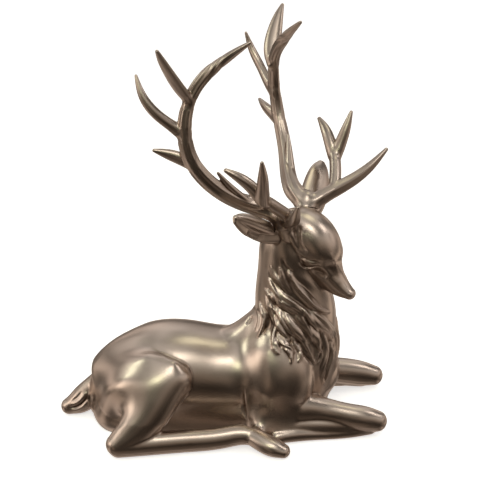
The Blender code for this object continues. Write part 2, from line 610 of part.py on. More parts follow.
def build():
    """Clears the file and makes the three pieces."""
    for old in list(bpy.data.objects):
        bpy.data.objects.remove(old, do_unlink=True)
    parts = bpy.data.collections.new("Reindeer figurine")
    cutters = bpy.data.collections.new("Cutters")
    bpy.context.scene.collection.children.link(parts)
    bpy.context.scene.collection.children.link(cutters)

    table = ground_cutter(cutters)
    body = mesh_object("body", body_skins(parts), parts)
    fuse(body, BODY_VOXEL, BODY_TRIANGLES)
    cut(body, table)
    body.data.materials.append(paint("Body bronze paint"))
    for hand, name in ((-1, "antler_right"), (1, "antler_left")):
        cut(body, seat_cutter(hand, True, cutters))
        antler = mesh_object(name, antler_skins(hand), parts)
        fuse(antler, ANTLER_VOXEL, ANTLER_TRIANGLES)
        cut(antler, seat_cutter(hand, False, cutters))
        antler.data.materials.append(paint(name + " bronze paint"))


build()
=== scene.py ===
# %% [markdown]
# # A lying reindeer in bronze paint
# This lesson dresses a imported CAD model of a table-top figurine. The model gives three pieces: the cast body
# and two antlers. Each is replaced by a finer skin of the same form, and painted.

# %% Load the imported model
import json
import math

import bpy
import numpy as np
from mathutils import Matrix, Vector
from mathutils.bvhtree import BVHTree

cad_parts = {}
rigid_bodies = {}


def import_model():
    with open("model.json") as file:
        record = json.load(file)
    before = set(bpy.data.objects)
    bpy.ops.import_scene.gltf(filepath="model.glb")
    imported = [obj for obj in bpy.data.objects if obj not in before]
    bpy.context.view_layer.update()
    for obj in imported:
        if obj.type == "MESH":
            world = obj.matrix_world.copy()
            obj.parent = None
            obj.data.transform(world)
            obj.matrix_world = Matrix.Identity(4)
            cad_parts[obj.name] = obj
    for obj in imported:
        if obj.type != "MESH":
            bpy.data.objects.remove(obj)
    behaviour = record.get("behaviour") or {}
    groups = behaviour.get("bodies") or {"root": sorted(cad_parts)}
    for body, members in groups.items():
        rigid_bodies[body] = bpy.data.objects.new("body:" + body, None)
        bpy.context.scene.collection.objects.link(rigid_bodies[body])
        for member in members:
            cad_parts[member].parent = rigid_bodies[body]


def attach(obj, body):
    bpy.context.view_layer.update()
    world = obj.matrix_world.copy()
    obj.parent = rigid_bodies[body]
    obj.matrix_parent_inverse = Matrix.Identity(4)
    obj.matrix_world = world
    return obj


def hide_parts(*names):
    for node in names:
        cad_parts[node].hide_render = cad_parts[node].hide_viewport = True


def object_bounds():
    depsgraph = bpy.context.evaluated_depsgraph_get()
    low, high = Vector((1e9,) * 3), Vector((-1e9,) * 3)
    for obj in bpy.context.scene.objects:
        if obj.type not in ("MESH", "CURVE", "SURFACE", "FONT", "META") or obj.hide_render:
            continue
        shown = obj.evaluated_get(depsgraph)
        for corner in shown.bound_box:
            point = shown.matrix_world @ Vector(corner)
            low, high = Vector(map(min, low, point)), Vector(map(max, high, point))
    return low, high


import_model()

CAD_LOW, CAD_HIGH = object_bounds()
print("CAD box, metres:", [round(v, 4) for v in CAD_LOW], [round(v, 4) for v in CAD_HIGH])

# %% [markdown]
# ## Units
# The figure is laid out in units, which are shares of its height. The tables of stations further down are in
# them, with X from tail to chest, Y to the animal's left and Z up. The middle of the plan is the origin, so
# each finished mesh is moved by that point and scaled once.

# %% Set the unit from the frame
HEIGHT_SHARES = 324.45
UNIT = CAD_HIGH.z / HEIGHT_SHARES
MILLIMETRES = 1000
PLAN_MIDDLE = np.array([-22.0, 15.4, 0.0])
HEAD_TURN = math.radians(31.3)
HEAD_ROOT = np.array([37.0, 0.0, 0.0])


def metres(points):
    """Points in units, as points of the frame in metres."""
    return (np.asarray(points, float) - PLAN_MIDDLE) * UNIT


def units(points):
    """Points of the frame in metres, as points in units."""
    return np.asarray(points, float) / UNIT + PLAN_MIDDLE


def head_axes(vectors):
    """Directions given as forward, left and up of the head, turned into the figure's axes by a rotation."""
    v = np.asarray(vectors, float)
    x = v[..., 0] * math.cos(HEAD_TURN) + v[..., 1] * math.sin(HEAD_TURN)
    y = -v[..., 0] * math.sin(HEAD_TURN) + v[..., 1] * math.cos(HEAD_TURN)
    return np.stack([x, y, v[..., 2]], axis=-1)


def head_place(points):
    """Points given in the head's axes, as points of the figure: the rotation, then the head's root."""
    return head_axes(points) + HEAD_ROOT


def head_mirror(points):
    """Points of the figure mirrored across the head's middle plane: twice the distance to it is taken off."""
    left = head_axes([0.0, 1.0, 0.0])
    return points - 2.0 * ((points - HEAD_ROOT) @ left)[..., None] * left


print("one unit is", round(UNIT * MILLIMETRES, 4), "mm")

# %% [markdown]
# ## Camera
# The photograph was taken from in front of the animal's right side and a little above. A long lens stands for
# the product photographer's: it keeps the near hoof and the far antler at nearly one scale.

# %% Place the camera
LENS = 0.0828
SENSOR = 0.036
CAMERA_ELEVATION = math.radians(24.286)
CAMERA_DISTANCE = 920.0
CAMERA_AIM = np.array([0.0, 0.0, 149.5])
PICTURE = 500.0

camera_back = np.array([0.0, -math.cos(CAMERA_ELEVATION), math.sin(CAMERA_ELEVATION)])
CAMERA_EYE = CAMERA_AIM + CAMERA_DISTANCE * camera_back
camera = bpy.data.objects.new("Camera", bpy.data.cameras.new("Camera"))
camera.data.lens = LENS * MILLIMETRES
camera.data.sensor_width = SENSOR * MILLIMETRES
camera.location = metres(CAMERA_EYE)
camera.rotation_euler = (math.pi / 2 - CAMERA_ELEVATION, 0.0, 0.0)
bpy.context.scene.collection.objects.link(camera)
bpy.context.scene.camera = camera


def sight(across, down):
    """The direction in which a point of the picture is seen: the camera's axes weighted by its offsets."""
    reach = LENS / SENSOR * PICTURE
    up = np.array([0.0, math.sin(CAMERA_ELEVATION), math.cos(CAMERA_ELEVATION)])
    ray = np.array([across - PICTURE / 2, 0.0, 0.0]) + up * (PICTURE / 2 - down) - camera_back * reach
    return ray / np.linalg.norm(ray)


print("camera at", [round(v, 3) for v in camera.location])

# %% [markdown]
# ## Curves through stations
# Every limb is described by a few stations along its middle line. A natural cubic spline joins them. It is
# the line that a thin batten takes when it is held at the stations, so it has no kinks.

# %% Make the spline helper


def batten(stations, count):
    """Rows read at even steps along a natural cubic spline over the stations' chord length."""
    rows = np.asarray(stations, float)
    step = np.linalg.norm(np.diff(rows[:, :3], axis=0), axis=1)
    at = np.concatenate([[0.0], np.cumsum(step)])
    n = len(rows)
    system = np.eye(n)
    k = np.arange(1, n - 1)
    system[k, k - 1] = step[:-1]
    system[k, k] = 2.0 * (step[:-1] + step[1:])
    system[k, k + 1] = step[1:]
    slope = np.diff(rows, axis=0) / step[:, None]
    right = np.zeros_like(rows)
    right[1:-1] = 6.0 * np.diff(slope, axis=0)
    bend = np.linalg.solve(system, right)
    wanted = np.linspace(0.0, at[-1], count)
    i = np.clip(np.searchsorted(at, wanted, side="right") - 1, 0, n - 2)
    b = (wanted - at[i])[:, None] / step[i][:, None]
    a = 1.0 - b
    straight = a * rows[i] + b * rows[i + 1]
    bent = (a**3 - a) * bend[i] + (b**3 - b) * bend[i + 1]
    return straight + bent * step[i][:, None]**2 / 6.0


print("a batten over 3 stations:", batten([(0, 0, 0), (1, 1, 0), (2, 0, 0)], 5)[:, 1].round(2))

# %% [markdown]
# ## Lofts
# A loft carries an oval section along such a line. Its grid has one row for each section and one column for
# each angle round it. The two ends are closed by rings that shrink like the rim of a ball, and by a pole.

# %% Make the helpers that close a skin
CAP_RINGS = 6
CAP_POLE = 0.02
THINNEST = 0.2


def with_ends(values, first, last):
    """Values along a line, the first and the last repeated for the cap's rings, times a share for each."""
    return np.concatenate([values[:1] * first, values, values[-1:] * last])


def closed_grid(grid):
    """Points and triangles of a tube of rings, with a pole in the middle of each end."""
    count, sides = grid.shape[:2]
    points = np.concatenate([grid.reshape(-1, 3), grid[:1].mean(1), grid[-1:].mean(1)])
    row, column = np.meshgrid(np.arange(count - 1), np.arange(sides), indexing="ij")
    after = (column + 1) % sides
    here = row * sides
    beyond = here + sides
    quads = np.stack([here + column, here + after, beyond + after, beyond + column], axis=-1).reshape(-1, 4)
    j = np.arange(sides)
    k = (j + 1) % sides
    foot_fan = np.stack([k, j, np.full(sides, count * sides)], axis=1)
    top = (count - 1) * sides
    tip_fan = np.stack([top + j, top + k, np.full(sides, count * sides + 1)], axis=1)
    return points, np.concatenate([quads[:, [0, 1, 2]], quads[:, [0, 2, 3]], foot_fan, tip_fan])


print("rings in a cap:", CAP_RINGS)

# %% Make the loft helper


def loft(
    stations, side, side_end=None, rings=24, sides=20, box=1.0, keel=0.0, cup=0.0, flutes=0, flute_depth=0.0,
):
    """A closed skin: middle + across * width * cos(angle) + upward * depth * sin(angle), rounded at the ends.

    Stations are x, y, z, half width and half depth. side is the direction of the half width, and it turns
    to side_end. With side None each station holds its own in three more numbers. box under 1 squares the
    section, keel narrows its top, cup bends it into a leaf, and flutes are grooves that run along it.
    """
    line = batten(stations, rings)
    middle = line[:, :3]
    wide = np.maximum(line[:, 3], THINNEST)
    deep = np.maximum(line[:, 4], THINNEST)
    ahead = np.gradient(middle, axis=0)
    ahead /= np.linalg.norm(ahead, axis=1)[:, None]
    if side is None:
        across = line[:, 5:8]
    else:
        share = np.linspace(0.0, 1.0, rings)[:, None]
        last = side if side_end is None else side_end
        across = np.asarray(side, float) * (1.0 - share) + np.asarray(last, float) * share
    turn = np.linspace(0.0, math.pi / 2, CAP_RINGS + 1)[1:]
    fade = np.maximum(np.cos(turn), CAP_POLE)
    whole = np.ones((CAP_RINGS, 1))
    foot = middle[0] - ahead[0] * (min(wide[0], deep[0]) * np.sin(turn))[::-1, None]
    tip = middle[-1] + ahead[-1] * (min(wide[-1], deep[-1]) * np.sin(turn))[:, None]
    middle = np.concatenate([foot, middle, tip])
    wide = with_ends(wide, fade[::-1], fade)
    deep = with_ends(deep, fade[::-1], fade)
    ahead = with_ends(ahead, whole, whole)
    across = with_ends(across, whole, whole)
    across = across - (across * ahead).sum(1)[:, None] * ahead
    across /= np.linalg.norm(across, axis=1)[:, None]
    upward = np.cross(ahead, across)
    angle = np.linspace(0.0, 2.0 * math.pi, sides, endpoint=False)
    u = np.sign(np.cos(angle)) * np.abs(np.cos(angle))**box
    v = np.sign(np.sin(angle)) * np.abs(np.sin(angle))**box
    groove = 1.0 - flute_depth * (0.5 + 0.5 * np.cos(flutes * angle)) if flutes else np.ones(sides)
    out = wide[:, None] * (u * groove * (1.0 - keel * v))
    up = deep[:, None] * (v * groove) + cup * wide[:, None] * u**2
    return closed_grid(middle[:, None] + across[:, None] * out[..., None] + upward[:, None] * up[..., None])


print("a loft of two stations has", len(loft([(0, 0, 0, 1, 1), (0, 0, 5, 1, 1)], (1, 0, 0))[1]), "triangles")

# %% Make the helpers that join and mirror


def joined(skins):
    """Several skins as one set of points and triangles: each one's numbers are moved past the last one's."""
    starts = np.cumsum([0] + [len(points) for points, _ in skins[:-1]])
    points = np.concatenate([points for points, _ in skins])
    triangles = np.concatenate([triangles + start for start, (_, triangles) in zip(starts, skins)])
    return points, triangles


def mirrored(stations):
    """Stations mirrored to the figure's other side: Y changes its sign."""
    return [(row[0], -row[1]) + tuple(row[2:]) for row in stations]


def on_head(stations, hand=1):
    """Stations given in the head's axes, as stations of the figure; hand -1 mirrors them to its right."""
    rows = np.array(stations, float)
    rows[:, 1] *= hand
    rows[:, :3] = head_place(rows[:, :3])
    return rows


print("hand 1 is left, hand -1 right")

# %% [markdown]
# ## The body's big forms
# On the real figurine the body is one casting. A sculptor would build it up as masses: a barrel for the
# trunk, an upright cone for the neck, pads for rump and shoulders, and tapered rolls for the legs. The same
# masses are lofted here, and they overlap freely because they are melted together afterwards.

# %% List the masses of the trunk
TRUNK = [
    (-132, 0, 22, 9, 9), (-127, 0, 23, 19, 18), (-118, 0, 27, 28, 26), (-107, 0, 31.5, 36, 32.5),
    (-93, 0, 35.5, 40.5, 37), (-76, 0, 39, 42, 41), (-56, 0, 40, 41, 41.5), (-33, 0, 38, 39.5, 39.5),
    (-10, 0, 38, 39, 38.5), (16, 0, 40.5, 38.5, 39), (38, 0, 41, 34, 36), (51, 0, 41, 24.5, 26.5),
]
BELLY = [
    (-118, 0, 7, 16, 12), (-104, 0, 9, 28, 20), (-80, 0, 10, 36.5, 27), (-30, 0, 10, 38.5, 28),
    (20, 0, 10, 37, 27), (44, 0, 10, 27, 22),
]
NECK = [
    (29.5, 0, 38, 36, 42.5), (33.6, 0, 62, 36, 40.1), (35, 0, 81, 31.5, 37), (36.8, 0, 96, 29, 33.7),
    (35.2, 0, 110, 26.5, 31.8), (33, 0, 125, 24, 28.5), (30.6, -1, 144, 21.5, 24.4), (30.4, -2, 160, 19, 21),
    (36, -4, 172, 15, 15),
]
WITHERS = [
    (-36, 0, 56, 21, 16), (-22, 0, 60, 21, 16.5), (-9, 0, 65, 19.5, 16.5), (3.5, 0, 75, 17, 16),
    (14, 0, 88, 14, 14),
]
RUMP = [(-124, -10, 18, 11, 17), (-113, -18, 16, 20, 22), (-100, -24, 15, 20, 22)]
TAIL = [(-123, 0, 32, 8, 9), (-134, -2, 19.5, 9, 11.5), (-145, -4, 10.5, 9, 10.5), (-153, -5, 7, 7, 7.2)]
print("stations of the trunk:", len(TRUNK), "and of the neck:", len(NECK))

# %% List the masses of the hind legs
THIGH = [
    (-112, -16, 36, 15, 20), (-99, -24, 41, 20, 25), (-83, -33, 48, 18.5, 27), (-69, -40.5, 54, 14.5, 24),
    (-57, -45.5, 59, 9.5, 17),
]
HAUNCH = [
    (-98, -43, 35, 11, 12), (-89, -46, 41, 15, 16), (-78, -48, 49, 15, 17), (-67, -48, 56, 12.5, 15),
    (-59, -47, 59, 10, 12.5),
]
HAM = [(-114, -28, 30, 9, 12), (-107, -37, 38, 12, 15), (-97, -43, 47, 13, 15), (-84, -46, 55, 12, 13)]
BUTTOCK = [
    (-118, -22, 25, 10, 13), (-111, -29, 26, 13, 16.5), (-104, -34, 30, 13, 16), (-96, -38, 38, 12, 15),
]
FAR_THIGH = [
    (-108, 20, 30, 16, 20), (-97, 28, 32, 18, 22), (-83, 36, 34, 16, 22), (-69, 43, 36, 13, 19),
    (-58, 47, 38, 9, 14),
]
FAR_HAUNCH = [(-97, 44, 26, 12, 10), (-86, 48, 30, 14, 12), (-74, 49, 34, 13, 13), (-62, 48, 38, 10, 10)]
SHANK = [
    (-59, -45, 58, 13, 13.5), (-71, -51, 45, 14.5, 17), (-86, -59, 28, 12.5, 17), (-99, -65.5, 15, 10, 12.5),
    (-106, -68.5, 10, 8.5, 9.5),
]
FAR_SHANK = [
    (-60, 46, 37, 11, 12), (-72, 52, 29, 12.5, 14), (-86, 60, 20, 11.5, 14), (-99, 65.5, 12.5, 9.5, 11.5),
    (-106, 68.5, 10, 8.5, 9.5),
]
HIND_SHIN = [
    (-105, -69, 9, 8, 9.2), (-85, -66, 9.2, 8.5, 9.4), (-50, -61, 9.2, 8.5, 9.4), (-22, -57.5, 10, 8.2, 9),
    (-6, -56, 11.8, 8, 8.4), (6, -58.5, 11, 7, 7.2),
]
HIND_HOOF = [
    (1, -58.5, 11.5, 6.5, 6.8), (10.5, -64, 9.3, 8, 7.8), (20.5, -68.5, 7.2, 8.2, 7.4),
    (26.5, -70.5, 5.8, 6.6, 5.6),
]
print("stations of a hind leg:", len(THIGH + SHANK + HIND_SHIN + HIND_HOOF))

# %% List the masses of the shoulders and forelegs
SHOULDER = [(19, -22, 72, 16, 23), (23, -30, 54, 17, 28), (24, -33, 40, 15.5, 26), (20, -34, 25, 13, 19)]
FAR_SHOULDER = [(23, 16, 58, 13, 19), (25, 26, 47, 16, 25), (24, 32, 35, 15.5, 24), (20, 33, 24, 13, 18)]
FOREARM = [
    (8, -38, 17, 11, 13), (24, -36, 20, 12, 15), (43, -34.5, 22, 11.5, 14.5), (61, -34.5, 20.3, 9.8, 11.6),
    (80, -37, 17.5, 9, 10.6), (97, -38, 14.5, 9, 10.4), (104, -38, 13, 8.2, 9),
]
FAR_FOREARM = [
    (8, 38, 17, 11, 13), (24, 36, 20, 12, 15), (43, 33.5, 22.5, 11.5, 14.5), (62, 35, 20, 10.5, 12),
    (86, 37, 16, 10, 11.8), (103, 38, 12.5, 9, 10.4), (108.5, 38, 11.5, 8.2, 9),
]
CANNON = [
    (98, -38, 7, 6, 6), (80, -42, 5.2, 4.8, 5.2), (55, -45, 5, 4.6, 5), (38, -47, 6, 5.6, 6),
    (22, -50, 5.5, 5.6, 5.6),
]
FAR_CANNON = [(98, 38, 7, 6, 6), (80, 41, 5.2, 4.8, 5.2), (55, 44, 5, 4.4, 5), (38, 45, 6, 5.4, 6)]
FORELEG_WEB = [(10, -42, 9, 10, 11), (45, -41, 9, 7.5, 10), (82, -40.5, 8, 5.5, 8)]
print("stations of a foreleg:", len(SHOULDER + FOREARM + CANNON))

# %% List the places where the masses run softly into each other
SOFT_PLACES = np.array([
    (-87, -55, 47, 24), (-106, -28, 60, 28), (-111, -37, 40, 17), (-3, -37, 58, 21), (-3, -28, 71, 19),
    (6, -24, 84, 17), (-88, 54, 32, 24), (-106, 28, 58, 28), (-111, 37, 34, 17), (-3, 35, 54, 20),
    (-3, 28, 69, 19), (6, 24, 82, 17), (-76, -50, 52, 30), (-100, -45, 40, 26), (-76, 50, 36, 28),
    (-104, -51, 35, 20), (-93, -28, 70, 18), (9, -43, 24, 19), (26, -46, 27, 16), (9, 42, 22, 19),
    (26, 44, 25, 16), (-93, 28, 62, 18), (-60, -45, 61, 15), (-113, -28, 44, 22), (-60, 46, 40, 15),
    (-113, 28, 40, 22), (-56, -41, 18, 13), (-38, -40, 17, 14), (-20, -40, 17, 14), (-2, -39, 17, 14),
    (14, -38, 16, 12), (-122, -12, 30, 13), (64, 0, 20, 16), (60, 14, 20, 13), (60, -14, 20, 13),
])
print("soft places:", len(SOFT_PLACES))

# %% Loft the masses
ACROSS = (0, 1, 0)
BACKHAND = (0, -1, 0)
torso_skins = [
    loft(TRUNK, BACKHAND, rings=90, sides=96, box=0.95),
    loft(BELLY, BACKHAND, rings=60, sides=72, box=0.7),
    loft(RUMP, ACROSS, rings=40, sides=56),
    loft(mirrored(RUMP), ACROSS, rings=40, sides=56),
    loft(WITHERS, BACKHAND, rings=40, sides=48),
    loft(NECK, ACROSS, head_axes([0, 1, 0]), rings=90, sides=96),
    loft(TAIL, ACROSS, rings=30, sides=40),
]
leg_skins = [
    loft(form, side, rings=rings, sides=sides) for form, side, rings, sides in (
        (THIGH, ACROSS, 50, 64), (HAUNCH, ACROSS, 40, 56), (HAM, ACROSS, 40, 56),
        (BUTTOCK, ACROSS, 40, 56), (FAR_HAUNCH, ACROSS, 40, 56), (FAR_THIGH, ACROSS, 50, 64),
        (SHANK, (0.3, 1, 0), 50, 56), (FAR_SHANK, (-0.3, 1, 0), 50, 56), (SHOULDER, ACROSS, 40, 64),
        (FAR_SHOULDER, ACROSS, 40, 64), (FOREARM, ACROSS, 60, 48), (FAR_FOREARM, ACROSS, 60, 48),
        (CANNON, ACROSS, 40, 32), (FAR_CANNON, ACROSS, 40, 32),
    )
]
for side_of in (list, mirrored):
    leg_skins += [
        loft(side_of(HIND_SHIN), ACROSS, rings=70, sides=40),
        loft(side_of(HIND_HOOF), ACROSS, rings=30, sides=40),
        loft(side_of(FORELEG_WEB), ACROSS, rings=30, sides=32, box=0.8),
    ]
print(len(torso_skins), "masses in the torso and", len(leg_skins), "in the legs")

# %% [markdown]
# ## Head and ears
# The head is one tapered mass from the crown to the nose. Each of its sections is given by a point on the
# brow line and a point on the jaw line, which are easy to read off a profile. The right ear is a cupped leaf
# with a thick roll along its upper edge. The left one, which is seen from its back, is a plain leaf.

# %% List the head's masses


def skull_station(top_forward, top_up, low_forward, low_up, half_width):
    """A head section: its middle and half depth come from its two ends in the head's middle plane."""
    forward = (top_forward + low_forward) / 2
    up = (top_up + low_up) / 2
    deep = math.hypot(top_forward - low_forward, top_up - low_up) / 2
    return tuple(head_place([forward, 0.0, up])) + (half_width, deep)


SKULL = [
    skull_station(*row) for row in (
        (-12, 176, -12, 152, 11), (-3, 185, -6, 143, 16.5), (7, 187, 1, 137, 18.5), (17, 181.5, 9, 132, 18.3),
        (23.5, 171, 16, 128, 16.4), (26.5, 158.5, 23, 124, 12.4), (33, 146, 31, 120.5, 9.6),
        (41.5, 135, 40, 118.3, 7.4), (49.5, 127.5, 48, 118.3, 5.4),
    )
]
EYELID = [
    (13, 15.4, 153.8, 2.6, 1.8), (19, 15.4, 152, 4, 2.8), (24.5, 13.8, 150, 3.6, 2.5),
    (30, 9.8, 148.2, 2, 1.5),
]
TEMPLE = [
    (2, 20.5, 177, 3, 3), (6, 18.6, 171, 3.2, 3.2), (8.5, 17.2, 165.5, 3, 3), (11.5, 16.6, 160, 2.6, 2.4),
    (15, 16, 156, 2, 1.8),
]
EAR = [
    (-3, 15, 164, 5, 5), (-4.5, 24, 170, 9, 5), (-6, 36, 178, 11.8, 5), (-9.3, 49, 186.8, 11.4, 4.4),
    (-12, 59, 193.8, 9.4, 3.8), (-14, 65.5, 198, 6, 2.8), (-14.8, 68, 199.8, 3.6, 1.8),
]
EAR_ACROSS = (0.75, 0.0, -0.75)
RIGHT_EAR = [
    (-4, 14, 165, 5, 5), (-7, 22, 169, 7, 4.6), (-10, 31, 174, 8.6, 3.4), (-13, 41, 180, 9.2, 2.8),
    (-15.7, 50.5, 186.4, 8.4, 2.6), (-17.7, 58, 191.4, 6, 2.4), (-18.6, 61.8, 193.8, 3.8, 2),
]
RIGHT_EAR_ACROSS = (0.0, 0.35, -0.92)
EAR_CUP = {-1: 0.2, 1: 0.0}
EAR_ROLL_AWAY = 0.36
EAR_ROLL = 0.64
print("stations of the skull:", len(SKULL), "and of an ear:", len(EAR))

# %% Loft the head's masses
SEAT_POINT = np.array([-1.0, 17.5, 179.5])
SEAT_LEAN = np.array([-0.15, 0.42, 0.895])
SEAT_RADIUS = 9.0
BOSS_PROFILE = ((-1.33, 1.1), (-0.55, 1.0), (0.0, 1.0), (0.35, 1.0))


def seat(hand):
    """A seat's middle and its upright direction, for the left (1) or the right (-1) antler."""
    flip = np.array([1.0, hand, 1.0])
    lean = head_axes(SEAT_LEAN * flip)
    return head_place(SEAT_POINT * flip), lean / np.linalg.norm(lean)


def turned(spot, lean, height, radius, profile):
    """Stations of a turned shape: the profile gives shares of the height along the lean and of the radius."""
    return [tuple(spot + lean * height * step) + (radius * share,) * 2 for step, share in profile]


def boss(hand):
    """The round boss under an antler: a short drum along the seat's upright."""
    rows = turned(*seat(hand), SEAT_RADIUS, SEAT_RADIUS, BOSS_PROFILE)
    return loft(rows, head_axes([1, 0, 0]), rings=20, sides=48)


def ear_skins(stations, width, hand):
    """An ear: a leaf and, on the right ear, a roll along its upper edge as thick as a share of the leaf."""
    across = np.array(width) * [1.0, hand, 1.0]
    across /= np.linalg.norm(across)
    leaf = np.array(stations, float)
    leaf[:, 1] *= hand
    roll = leaf.copy()
    roll[:, :3] -= across * (EAR_ROLL_AWAY * leaf[:, 3])[:, None]
    roll[:, 3:] = EAR_ROLL * leaf[:, 3:4]
    side = head_axes(across)
    skins = [loft(on_head(leaf), side, rings=60, sides=56, cup=EAR_CUP[hand])]
    if hand < 0:
        skins.append(loft(on_head(roll), side, rings=60, sides=36))
    return skins


head_skins = [loft(SKULL, head_axes([0, -1, 0]), rings=90, sides=96, keel=0.14, box=0.95)]
UPWARD = head_axes([0, 0, 1])
for hand, ear, width in ((-1, RIGHT_EAR, RIGHT_EAR_ACROSS), (1, EAR, EAR_ACROSS)):
    head_skins += ear_skins(ear, width, hand)
    head_skins.append(loft(on_head(EYELID, hand), UPWARD, rings=30, sides=24))
    head_skins.append(loft(on_head(TEMPLE, hand), UPWARD, rings=40, sides=24))
    head_skins.append(boss(hand))
print(len(head_skins), "masses in the head")

# %% [markdown]
# ## Muscles that run together
# Overlapping rolls leave a crease where they meet. Some creases belong there, but between the thigh and the
# shank, behind the shoulder and at the foot of the neck a modeller fills them with a thumb. So the masses are
# first melted into one skin by the Remesh modifier in voxel mode. Then the points in the soft places are
# pulled towards the middle of their neighbours again and again, which fills a valley and lowers a ridge.

# %% Make the helpers that make and melt a mesh
MELT_SMOOTHING = 4
MELT_FACTOR = 0.5


def mesh_object(name, points, triangles):
    """An object at the origin whose mesh is given in units."""
    mesh = bpy.data.meshes.new(name)
    mesh.from_pydata(metres(points).tolist(), [], triangles.tolist())
    made = bpy.data.objects.new(name, mesh)
    bpy.context.scene.collection.objects.link(made)
    return made


def settle(obj):
    """Applies an object's modifiers: its mesh becomes the evaluated one."""
    mesh = bpy.data.meshes.new_from_object(obj.evaluated_get(bpy.context.evaluated_depsgraph_get()))
    obj.modifiers.clear()
    obj.data = mesh


def melt(obj, voxel):
    """One closed skin from overlapping ones."""
    remesh = obj.modifiers.new("Melt", "REMESH")
    remesh.mode = "VOXEL"
    remesh.voxel_size = voxel * UNIT
    smooth = obj.modifiers.new("Smooth", "SMOOTH")
    smooth.factor = MELT_FACTOR
    smooth.iterations = MELT_SMOOTHING
    settle(obj)


print("a melt is smoothed", MELT_SMOOTHING, "times")

# %% Make the helpers that read and move a mesh


def corners_of(obj):
    """All vertex places of an object, in units, and its vertex normals."""
    count = len(obj.data.vertices)
    places = np.empty(count * 3, np.float32)
    normals = np.empty(count * 3, np.float32)
    obj.data.vertices.foreach_get("co", places)
    obj.data.vertices.foreach_get("normal", normals)
    return units(places.reshape(-1, 3)), normals.reshape(-1, 3).astype(float)


def edges_of(obj):
    """The two vertex numbers of every edge."""
    ends = np.empty(len(obj.data.edges) * 2, np.int32)
    obj.data.edges.foreach_get("vertices", ends)
    return ends.reshape(-1, 2)


def triangles_of(obj):
    """The three vertex numbers of every triangle of a mesh."""
    obj.data.calc_loop_triangles()
    corners = np.empty(len(obj.data.loop_triangles) * 3, np.int32)
    obj.data.loop_triangles.foreach_get("vertices", corners)
    return corners.reshape(-1, 3)


def move_corners(obj, points):
    """Writes vertex places in units back to an object."""
    obj.data.vertices.foreach_set("co", metres(points).astype(np.float32).ravel())
    obj.data.update()


print("places are read and written in units")

# %% Make the helpers that relax a skin
SOFT_STRIDE = 0.5


def neighbour_mean(values, ends):
    """For each vertex, the mean of a value over the vertices that share an edge with it."""
    first = np.concatenate([ends[:, 0], ends[:, 1]])
    other = np.concatenate([ends[:, 1], ends[:, 0]])
    size = len(values)
    valence = np.maximum(np.bincount(first, minlength=size), 1)
    columns = values.reshape(size, -1).T
    total = np.stack([np.bincount(first, column[other], size) for column in columns], axis=1)
    return (total / valence[:, None]).reshape(values.shape)


def soft_share(points, places):
    """How freely a point may move: one minus the square of its distance share in the nearest soft place."""
    share = np.zeros(len(points))
    for place in places:
        away = np.linalg.norm(points - place[:3], axis=1) / place[3]
        share = np.maximum(share, np.clip(1.0 - away**2, 0.0, 1.0))
    return share


def relaxed(points, ends, freedom, steps):
    """Points pulled in small steps towards the mean of their neighbours, as far as their freedom lets."""
    loose = ends[(freedom[ends] > 0.0).any(axis=1)]
    patch, patch_ends = np.unique(loose, return_inverse=True)
    patch_ends = patch_ends.reshape(-1, 2)
    moving = points[patch]
    stride = SOFT_STRIDE * freedom[patch, None]
    for _ in range(steps):
        moving += (neighbour_mean(moving, patch_ends) - moving) * stride
    rested = points.copy()
    rested[patch] = moving
    return rested


print("share of the way at each step:", SOFT_STRIDE)

# %% Melt the muscles and relax their soft places
MUSCLE_VOXEL = 0.9
SOFT_STEPS = 400

muscles = mesh_object("muscles", *joined(torso_skins + leg_skins))
melt(muscles, MUSCLE_VOXEL)
muscle_points, _ = corners_of(muscles)
muscle_triangles = triangles_of(muscles)
muscle_freedom = soft_share(muscle_points, SOFT_PLACES)
muscle_points = relaxed(muscle_points, edges_of(muscles), muscle_freedom, SOFT_STEPS)
bpy.data.objects.remove(muscles)
print("muscles:", len(muscle_points), "points, of which", np.count_nonzero(muscle_freedom), "were relaxed")

# %% [markdown]
# ## Locks of the mane
# The mane is carved as long S-shaped locks. A lock is a ridge with a pointed end whose path is drawn on the
# neck as seen from outside: an angle round the neck and a height. Each point of it is dropped onto the neck.
# Its ends sink under the skin, so that it grows out of the neck instead of starting with a step.

